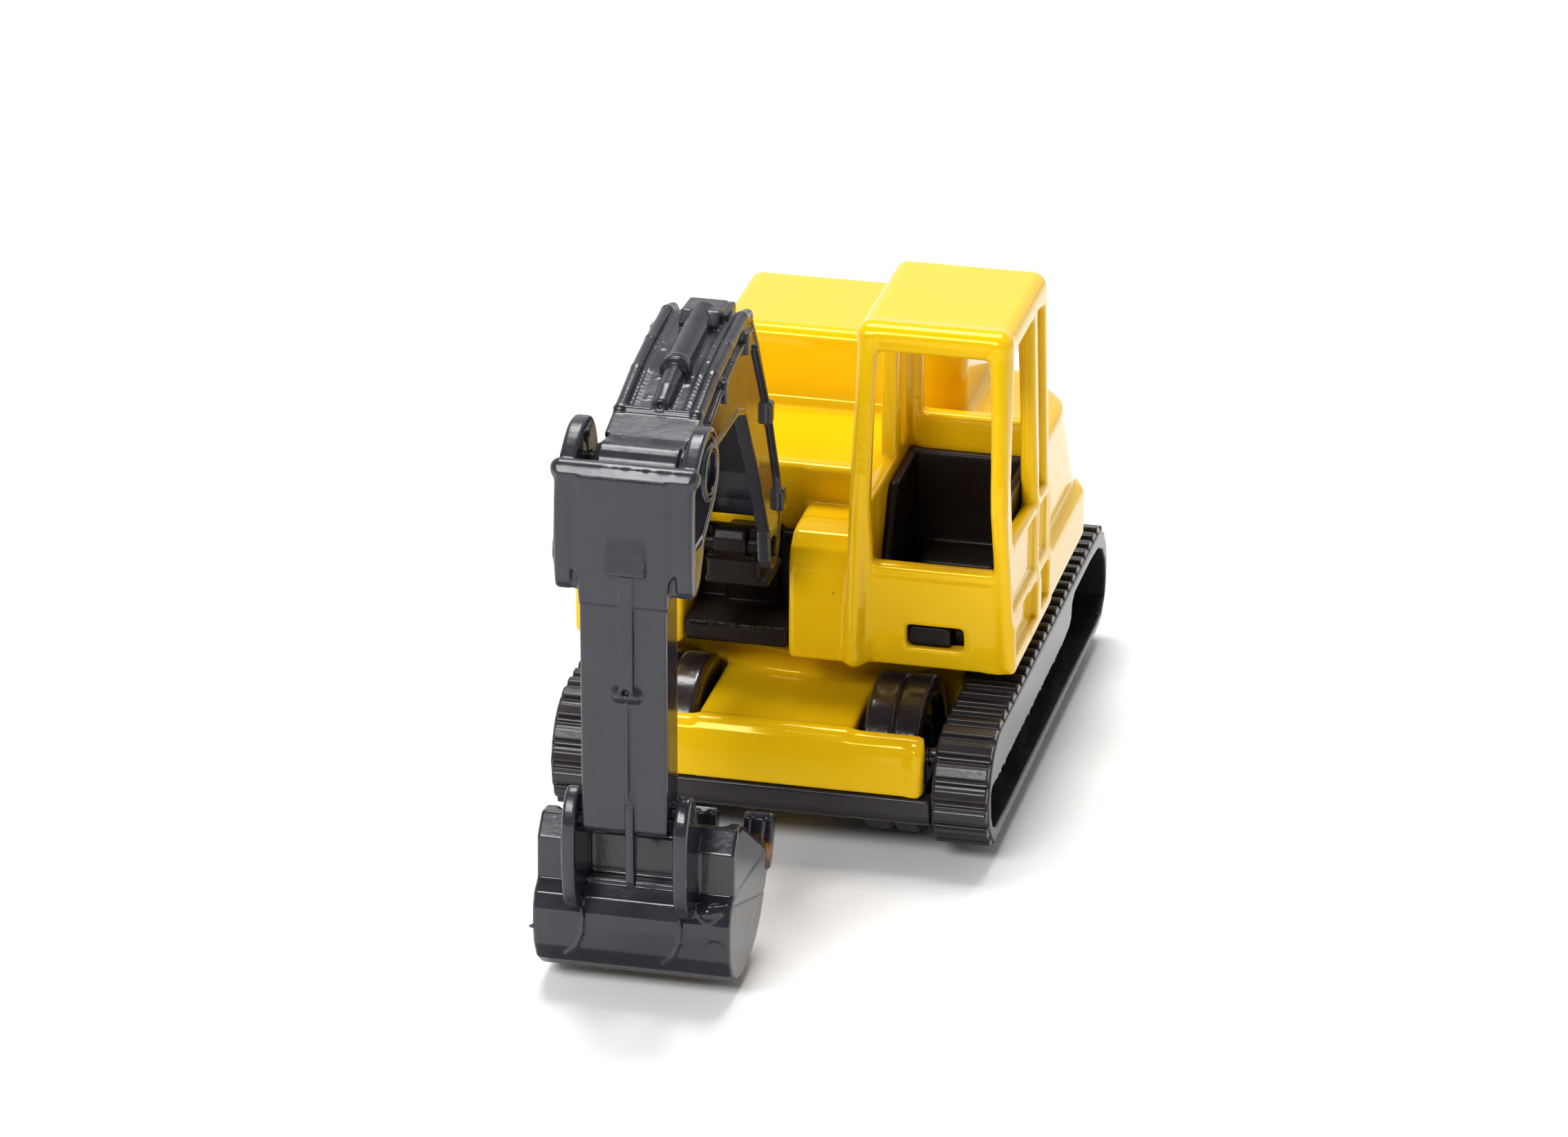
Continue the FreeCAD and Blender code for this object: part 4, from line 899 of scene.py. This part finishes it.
def boom():
    v = Vol((-7.1, -40.2, 17.0), (0.4, -12.2, 38.6), 0.09)
    x0, x1 = BX - BH, BX + BH
    top = [(-13.55, 19.1), (-13.20, 21.0), (-13.75, 23.4), (-16.0, 28.3),
           (-19.6, 34.4), (-21.3, 36.75), (-22.6, 37.1), (-26.6, 36.75),
           (-30.1, 36.25), (-34.0, 35.3), (-36.7, 34.6)]
    under = [(-37.7, 32.05), (-33.5, 31.55), (-29.6, 31.75), (-25.0, 31.65),
             (-23.3, 31.0), (-19.2, 25.1), (-16.7, 20.6)]
    tip = arc(STICK_PIV[0], STICK_PIV[1], 1.45, 75, 285, 12)[1:-1]
    foot = arc(BOOM_PIV[0], BOOM_PIV[1], 1.45, 200, 355, 8)
    outline = top + tip + under + foot
    v.add(ext(outline, "x", x0, x1, 0.14))
    # flanks are panelled: a shallow flat field inside a raised rim
    for a, b in ((x1 - 0.10, x1 + 1), (x0 - 1, x0 + 0.10)):
        v.cut(ext(inset(outline, 0.42), "x", a, b, 0.02), 0.05)
    # open channel on the inner side
    chan = [(-11.0, 14), (-11.0, 20.45), (-14.0, 20.45), (-14.2, 21.6),
            (-14.9, 23.7), (-17.0, 28.1), (-20.5, 34.0), (-21.9, 35.95), (-26.5, 35.75),
            (-30.1, 35.25), (-33.2, 34.4), (-33.2, 29), (-24, 28), (-20, 14)]
    v.cut(ext(chan, "x", x0 + 0.85, x1 - 0.85, 0.2), 0.12)
    # tip barrel between thin washers
    for a, b in ((x0 - 1, x0 + 0.30), (x1 - 0.30, x1 + 1)):
        v.cut(ext([(-42, 30), (-36.3, 30), (-36.3, 33), (-36.7, 38),
                   (-42, 38)], "x", a, b, 0.05), 0.08)
    for s in (x0 + 0.16, x1 - 0.16):
        v.add(cyl("x", STICK_PIV, 1.22, s - 0.13, s + 0.16, 0.08), 0.05)
    # slanted landing with a lip in front of the cylinder's end
    v.add(cap((x0 + 0.2, -34.15, 35.32), (x1 - 0.2, -34.15, 35.32), 0.20), 0.2)
    # rails along the top edges
    rail = [(-21.2, 36.7), (-22.6, 37.05), (-26.6, 36.7), (-30.1, 36.2),
            (-34.1, 35.22)]
    for x in (x0 + 0.42, x1 - 0.42):
        for a, b in zip(rail, rail[1:]):
            v.add(cap((x, a[0], a[1]), (x, b[0], b[1]), 0.40), 0.12)
    for x in (x0 + 1.15, x1 - 1.15):
        for a, b in zip(rail, rail[1:]):
            v.add(cap((x, a[0], a[1] - 0.02), (x, b[0], b[1] - 0.02), 0.14),
                  0.1)
    # moulded lift cylinder
    cx = BX + 0.12
    br = [(-20.9, 36.0), (-21.1, 37.3), (-21.9, 37.85), (-24.1, 37.95),
          (-24.9, 37.35), (-24.5, 36.4)]
    v.add(ext(br, "x", cx - 1.22, cx + 1.22, 0.16), 0.12)
    v.cut(cyl("y", (cx - 0.2, 36.95), 0.74, -25.6, -24.2, 0.05), 0.08)
    v.add(rbox((cx + 0.85, -23.6, 36.6), (cx + 1.55, -21.2, 37.55), 0.14), 0.1)
    v.add(rod((cx, -23.0, 37.35), (cx, -30.3, 36.48), 0.84, 0.1), 0.12)
    v.add(rod((cx, -29.75, 36.54), (cx, -30.55, 36.44), 0.97, 0.12), 0.06)
    v.add(tube([(cx, -30.3, 36.40), (cx, -32.5, 35.98), (cx, -33.75, 35.62)],
               [0.66, 0.60, 0.58]), 0.12)
    v.cut(cap((cx, -34.3, 35.75), (cx, -34.6, 35.75), 0.22), 0.1)
    # hose along the upper flank and its clips
    hose = [(-21.9, 36.0), (-23.6, 35.95), (-26.5, 35.75), (-29.2, 35.25),
            (-32.6, 34.2)]
    leg = [(-20.6, 34.4), (-17.1, 28.9), (-14.5, 23.6), (-13.9, 21.4)]
    for line in (hose, leg):
        for x in (x0 - 0.02, x1 + 0.02):
            for a, b in zip(line, line[1:]):
                v.add(cap((x, a[0], a[1]), (x, b[0], b[1]), 0.17), 0.06)
    for y, z in ((-23.6, 35.9), (-29.2, 34.95), (-17.3, 28.9), (-13.9, 21.8)):
        for a, b in ((x0 - 0.36, x0 + 0.2), (x1 - 0.2, x1 + 0.36)):
            v.add(rbox((a, y - 0.42, z - 0.72), (b, y + 0.42, z + 0.72), 0.14),
                  0.1)
    v.cut(cyl("x", BOOM_PIV, 0.64, -12, 4, 0.02))
    # flash specks on the top face
    for _ in range(34):
        y = -22.5 - 11.5 * rng.random()
        x = x0 + 0.4 + (2 * BH - 0.8) * rng.random()
        z = np.interp(-y, [22.6, 26.6, 30.1, 34.0], [37.1, 36.75, 36.25, 35.3])
        v.add(cap((x, y, z), (x + 0.1 * rng.random(), y, z),
                  0.05 + 0.06 * rng.random()), 0.05)
    return v.mesh(1)


def stick():
    cx = BX
    f = -42.80
    v = Vol((-8.0, -43.7, 8.0), (1.3, -35.2, 36.9), 0.09)
    head = [(cx - 4.20, 34.75), (cx + 4.20, 34.75), (cx + 4.28, 30.5),
            (cx + 4.20, 28.2), (cx + 3.7, 27.3), (cx + 3.0, 27.1),
            (cx - 3.0, 27.1), (cx - 3.6, 27.35), (cx - 4.25, 28.0),
            (cx - 4.40, 29.2), (cx - 4.30, 31.5)]
    v.add(ext(head, "y", f + 0.32, f + 1.30, 0.20))
    face = [(cx - 4.0, 34.6), (cx + 4.0, 34.6), (cx + 3.95, 30.4),
            (cx + 3.72, 29.3), (cx + 3.15, 28.6), (cx + 2.75, 28.2),
            (cx + 2.6, 26.5), (cx - 2.6, 26.5), (cx - 2.75, 28.1),
            (cx - 3.2, 28.55), (cx - 3.85, 29.3), (cx - 4.05, 30.6)]
    v.add(ext(face, "y", f, f + 0.8, 0.16), 0.04)
    # plump top roll of the head plate
    v.add(cap((cx - 3.9, f + 0.72, 34.55), (cx + 3.9, f + 0.72, 34.55), 0.62),
          0.3)
    shank = [(f, 34.3), (f + 0.02, 28.0), (f + 0.35, 13.2), (-42.4, 11.85),
             (-42.0, 11.4), (-40.7, 11.35), (-40.0, 12.0), (-39.75, 14.2),
             (-39.95, 27.0), (-40.3, 29.2), (-41.2, 30.0), (-41.2, 34.3)]
    v.add(ext(shank, "x", cx - 2.66, cx + 2.60, 0.2), 0.35)
    ear = [(f + 0.1, 33.9), (-41.6, 34.9), (-39.9, 36.0), (-38.6, 36.3),
           (-37.2, 35.95), (-36.2, 34.6), (-35.9, 32.6), (-37.1, 31.1),
           (-39.7, 29.5), (-41.0, 27.5), (f + 0.1, 27.6)]
    ear = smooth(ear, 4)
    for a, b in ((cx - 4.18, cx - 3.14), (cx + 3.14, cx + 4.18)):
        v.add(ext(ear, "x", a, b, 0.24), 0.12)
    # raised rim round the outer ear faces
    for a, b in ((cx + 4.08, cx + 5), (cx - 5, cx - 4.08)):
        v.cut(ext(inset(ear, 0.55), "x", a, b, 0.02), 0.06)
    for x in (cx - 4.14, cx + 4.14):
        v.add(cyl("x", STICK_PIV, 1.62, x - 0.12, x + 0.10, 0.06), 0.08)
    v.add(ext([(-41.2, 27.4), (-40.1, 28.9), (-39.9, 30.2), (-42, 30.2),
               (-42.4, 27.4)], "x", cx - 4.1, cx + 4.1, 0.2), 0.3)
    # square pad, ribs, dimple collar and stop finger on the front face
    v.add(ext([(f - 0.04, 31.15), (f + 0.3, 31.30), (f + 0.3, 28.40),
               (f - 0.43, 28.50)], "x", cx - 1.12, cx + 1.42, 0.14), 0.03)
    px = cx + 0.18
    v.add(rbox((px - 0.47, f - 0.20, 20.7), (px + 0.47, f + 0.9, 28.6), 0.10),
          0.04)
    v.add(cap((px - 0.5, f + 0.22, 20.72), (px + 0.5, f + 0.22, 20.72), 0.42),
          0.25)
    v.cut(cap((px - 0.05, f - 0.05, 21.0), (px + 0.05, f - 0.05, 21.0), 0.2),
          0.1)
    v.add(rbox((px - 0.14, f + 0.0, 13.6), (px + 0.14, f + 0.9, 20.6), 0.08),
          0.1)
    fx = cx + 0.31
    fin = [(f + 0.40, 15.2), (f + 0.05, 13.2), (f + 0.15, 8.6),
           (f + 0.4, 8.05), (f + 0.8, 8.05), (f + 1.0, 8.8),
           (f + 1.3, 12.5)]
    v.add(ext(fin, "x", fx - 0.28, fx + 0.28, 0.14), 0.1)
    # pivot holes, counterbored in the ears' outer faces
    v.cut(cyl("x", STICK_PIV, 0.70, -12, 4, 0.02))
    for a, b in ((cx - 6, cx - 3.72), (cx + 3.72, cx + 6)):
        v.cut(cyl("x", STICK_PIV, 1.22, a, b, 0.1), 0.08)
    v.cut(cyl("x", BUCKET_PIV, 0.55, -12, 4, 0.02))
    # moulding flash along the head's top edge
    for i in range(9):
        x = cx - 3.9 + 7.8 * rng.random()
        v.add(cap((x, f + 0.30, 34.95), (x + 0.3 * rng.random(), f + 0.34, 34.97),
                  0.04 + 0.04 * rng.random()), 0.08)
    return v.mesh(1)


def bucket():
    cx, h = -3.40, 6.10
    v = Vol((-10.1, -43.8, 0.2), (3.5, -29.2, 14.5), 0.09)
    drum = [(-39.0, 7.2), (-40.0, 6.95), (-40.75, 6.45), (-41.12, 5.5),
            (-41.15, 4.6), (-41.0, 3.1), (-40.4, 1.9), (-39.4, 1.1),
            (-37.9, 0.76), (-35.9, 0.88), (-34.2, 1.45), (-32.9, 2.35),
            (-31.85, 3.6), (-31.0, 5.0), (-30.4, 6.2), (-31.6, 6.5)]
    v.add(ext(drum, "x", cx - h, cx + h, 0.32))
    panel = [(-38.75, 10.85), (-39.85, 9.62), (-39.95, 5.2), (-36.0, 3.0),
             (-32.2, 4.6), (-30.7, 6.1), (-31.9, 6.7), (-37.6, 10.72)]
    v.add(ext(panel, "x", cx - h + 0.02, cx + h - 0.02, 0.2), 0.08)
    # the bowl
    cav = [(-38.15, 12), (-38.35, 8.2), (-39.3, 6.6), (-39.9, 5.2),
           (-39.8, 3.8), (-39.2, 2.7), (-37.9, 1.95), (-36.0, 1.8),
           (-34.6, 2.35), (-33.4, 3.3), (-32.5, 4.4), (-31.6, 6.0),
           (-31.3, 12)]
    v.cut(ext(cav, "x", cx - h + 0.9, cx + h - 0.9, 0.45), 0.15)
    # crease across the flanks
    for s in (-1, 1):
        x = cx + s * h
        v.cut(cap((x + s * 0.14, -39.9, 6.5), (x + s * 0.14, -32.0, 3.75), 0.2),
              0.1)
    # recess behind the stick
    v.cut(rbox((BX - 2.93, -44, 7.30), (BX + 2.93, -38.95, 14), 0.15), 0.1)
    v.cut(rbox((BX - 2.93, -39.6, 10.0), (BX + 2.93, -38.45, 14), 0.15), 0.3)
    ear = [(-41.3, 13.85), (-42.2, 13.3), (-42.85, 12.0), (-43.0, 9.8),
           (-42.75, 7.6), (-42.1, 6.35), (-41.0, 5.9), (-39.6, 6.6),
           (-38.9, 8.6), (-39.0, 10.2), (-39.9, 12.3), (-40.5, 13.4)]
    ear = smooth(ear, 4)
    for a, b in ((BX - 3.85, BX - 2.95), (BX + 2.95, BX + 3.85)):
        v.add(ext(ear, "x", a, b, 0.25), 0.12)
    # curved seams running down the drum from the ears' feet
    for x, s in ((BX - 3.0, -1), (BX + 3.0, 1)):
        arcp = [(x, -41.5, 6.3), (x + 0.12, -41.32, 5.2),
                (x + 0.02, -41.22, 4.2), (x - 0.4, -41.05, 3.2),
                (x - 1.1, -40.75, 2.5)]
        v.add(tube(arcp, 0.10), 0.12)
    # shallow pressings in the drum below the panel, ejector mark
    v.add(tube([(BX + 4.0, -40.5, 6.35), (BX + 4.7, -40.75, 6.2),
                (BX + 5.4, -40.5, 6.35)], [0.35, 0.55, 0.35]), 0.25)
    v.cut(tube([(BX + 3.9, -40.9, 6.95), (BX + 4.7, -41.0, 6.95),
                (BX + 5.7, -40.9, 6.95)], 0.13), 0.1)
    v.cut(Prim((BX + 4.2, -42.5, 2.8), (BX + 6.4, -40.6, 5.0),
               cyl("y", (BX + 5.15, 3.9), 0.62, -42.5, -41.02, 0.05).f), 0.06)
    # swept marks and a nub of flash
    for i in range(5):
        x = cx - h + 0.25 + 0.55 * i
        v.cut(cap((x, -41.3, 6.0), (x + 0.25, -41.32, 3.2), 0.10), 0.12)
    v.add(cap((cx - h + 0.05, -41.0, 4.2), (cx - h - 0.12, -41.0, 4.2), 0.12),
          0.05)
    for i in range(4):
        x = cx + 0.15 + (i - 1.5) * 3.48
        v.add(ext([(-31.5, 4.9), (-30.75, 7.9), (-30.3, 8.15),
                   (-29.75, 7.7), (-30.35, 5.9), (-30.9, 4.9)], "x",
                  x - 0.92, x + 0.92, 0.14), 0.12)
        for dx in (-0.45, 0.4):
            v.cut(cap((x + dx, -31.22, 5.8), (x + dx + 0.1, -30.70, 8.0), 0.10),
                  0.12)
    v.cut(cyl("x", BUCKET_PIV, 0.50, -12, 4, 0.02))
    return v.mesh(1)


build("house_shell", *house(), YELLOW, "house", "yellow_enamel", ["house_body"])
build("cab_floor_insert", *deck_insert(), SHADED_INSERT_BLACK, "house", "black_plastic",
      ["deck_insert"])
build("undercarriage_frame", *chassis(), YELLOW, "undercarriage",
      "yellow_enamel", ["chassis_frame"])
build("belly_plate", *base_plate(), TRACK, "undercarriage", "black_plastic",
      ["base_plate"])
P, Q = track(1)
build("crawler_left", P, Q, TRACK, "undercarriage", "track_plastic",
      ["track_left"])
PM = P.copy()
PM[:, 0] *= -1
build("crawler_right", PM, Q[:, ::-1], TRACK, "undercarriage",
      "track_plastic", ["track_right"])
for nm, sg, y, bd in (("wheel_front_left", 1, -12.9, "front_wheelset"),
                      ("wheel_front_right", -1, -12.9, "front_wheelset"),
                      ("wheel_rear_left", 1, 12.9, "rear_wheelset"),
                      ("wheel_rear_right", -1, 12.9, "rear_wheelset")):
    build("drum_" + nm[6:], *wheel(sg, y), WHEEL, bd, "wheel_plastic", [nm])
build("boom_arm", *boom(), ARM, "boom", "black_plastic", ["boom"])
build("stick_arm", *stick(), ARM, "stick", "black_plastic", ["stick"])
build("digging_bucket", *bucket(), BUCKET, "bucket", "black_plastic", ["bucket"])

for nm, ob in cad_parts.items():
    if "axle" in nm or "rivet" in nm or "washer" in nm:
        mat = STEEL
    # pins take the painted-shade insert black, dark as they sit in their holes
    elif nm.endswith("_pin"):
        mat = SHADED_INSERT_BLACK
    else:
        continue
    ob.data.materials.clear()
    ob.data.materials.append(mat)

# --------------------------------------------------------------------- stage
floor_me = bpy.data.meshes.new("floor")
S = 3.0
floor_me.from_pydata([(-S, -S, 0), (S, -S, 0), (S, S, 0), (-S, S, 0)], [],
                     [(0, 1, 2, 3)])
floor = bpy.data.objects.new("floor", floor_me)
bpy.context.scene.collection.objects.link(floor)
m, nt, b = nodes_of("pale_floor")
b.inputs["Base Color"].default_value = (0.93, 0.93, 0.935, 1)
b.inputs["Roughness"].default_value = 0.55
b.inputs["Specular IOR Level"].default_value = 0.25
floor_me.materials.append(m)

world = bpy.data.worlds.new("studio")
bpy.context.scene.world = world
world.use_nodes = True
wt = world.node_tree
wt.nodes.clear()
wo = wt.nodes.new("ShaderNodeOutputWorld")
bg = wt.nodes.new("ShaderNodeBackground")
tc = wt.nodes.new("ShaderNodeTexCoord")
sp = wt.nodes.new("ShaderNodeSeparateXYZ")
wt.links.new(tc.outputs["Generated"], sp.inputs[0])


def wramp(sock, lo, hi, stops):
    mr = wt.nodes.new("ShaderNodeMapRange")
    mr.inputs[1].default_value, mr.inputs[2].default_value = lo, hi
    wt.links.new(sock, mr.inputs[0])
    rp = wt.nodes.new("ShaderNodeValToRGB")
    el = rp.color_ramp.elements
    while len(el) < len(stops):
        el.new(0.5)
    for e, (p, g) in zip(el, stops):
        e.position = p
        e.color = (g, g, g, 1)
    wt.links.new(mr.outputs[0], rp.inputs[0])
    return rp.outputs[0]


# white behind and at the sides, darker towards the front, a dim ceiling
around = wramp(sp.outputs[1], -1.0, 1.0, [(0.0, 0.12), (0.30, 0.24), (0.62, 1.0)])
ceiling = wramp(sp.outputs[2], 0.0, 1.0,
                [(0.0, 1.0), (0.42, 0.95), (0.70, 0.25), (1.0, 0.22)])
wm = wt.nodes.new("ShaderNodeMix")
wm.data_type = "RGBA"
wm.blend_type = "MULTIPLY"
wm.inputs[0].default_value = 1.0
wt.links.new(around, wm.inputs[6])
wt.links.new(ceiling, wm.inputs[7])
wt.links.new(wm.outputs[2], bg.inputs[0])
bg.inputs[1].default_value = 1.0
wt.links.new(bg.outputs[0], wo.inputs[0])


def area(name, loc, target, size, power, color=(1, 1, 1)):
    ld = bpy.data.lights.new(name, "AREA")
    ld.shape = "RECTANGLE"
    ld.size, ld.size_y = size
    ld.energy = power
    ld.color = color
    ob = bpy.data.objects.new(name, ld)
    bpy.context.scene.collection.objects.link(ob)
    ob.location = loc
    d = Vector(target) - Vector(loc)
    ob.rotation_euler = d.to_track_quat("-Z", "Y").to_euler()
    return ob


area("top_softbox", (-0.05, 0.17, 0.54), (0, -0.01, 0.01), (0.32, 0.24), 3.3)
area("front_strip", (-0.15, -0.44, 0.38), (0, -0.01, 0.01), (0.34, 0.18), 2.9)

# -------------------------------------------------------------------- camera
az, el, roll = (math.radians(v) for v in (12.889, 23.292, 0.335))
back = Vector((math.sin(az) * math.cos(el), -math.cos(az) * math.cos(el),
               math.sin(el)))
right0 = Vector((math.cos(az), math.sin(az), 0))
up0 = back.cross(right0)
right = math.cos(roll) * right0 + math.sin(roll) * up0
up = -math.sin(roll) * right0 + math.cos(roll) * up0
loc = (Vector((-3.975, 1.9, 10.118)) + back * 490.553) * MM
cd = bpy.data.cameras.new("camera")
cd.sensor_width = 36.0
cd.lens = 11009.0 / 2268.0 * 36.0
cd.clip_start, cd.clip_end = 0.02, 20.0
cam = bpy.data.objects.new("camera", cd)
bpy.context.scene.collection.objects.link(cam)
cam.matrix_world = Matrix(((right.x, up.x, back.x, loc.x),
                           (right.y, up.y, back.y, loc.y),
                           (right.z, up.z, back.z, loc.z), (0, 0, 0, 1)))
bpy.context.scene.camera = cam
bpy.context.scene.view_settings.view_transform = "Standard"
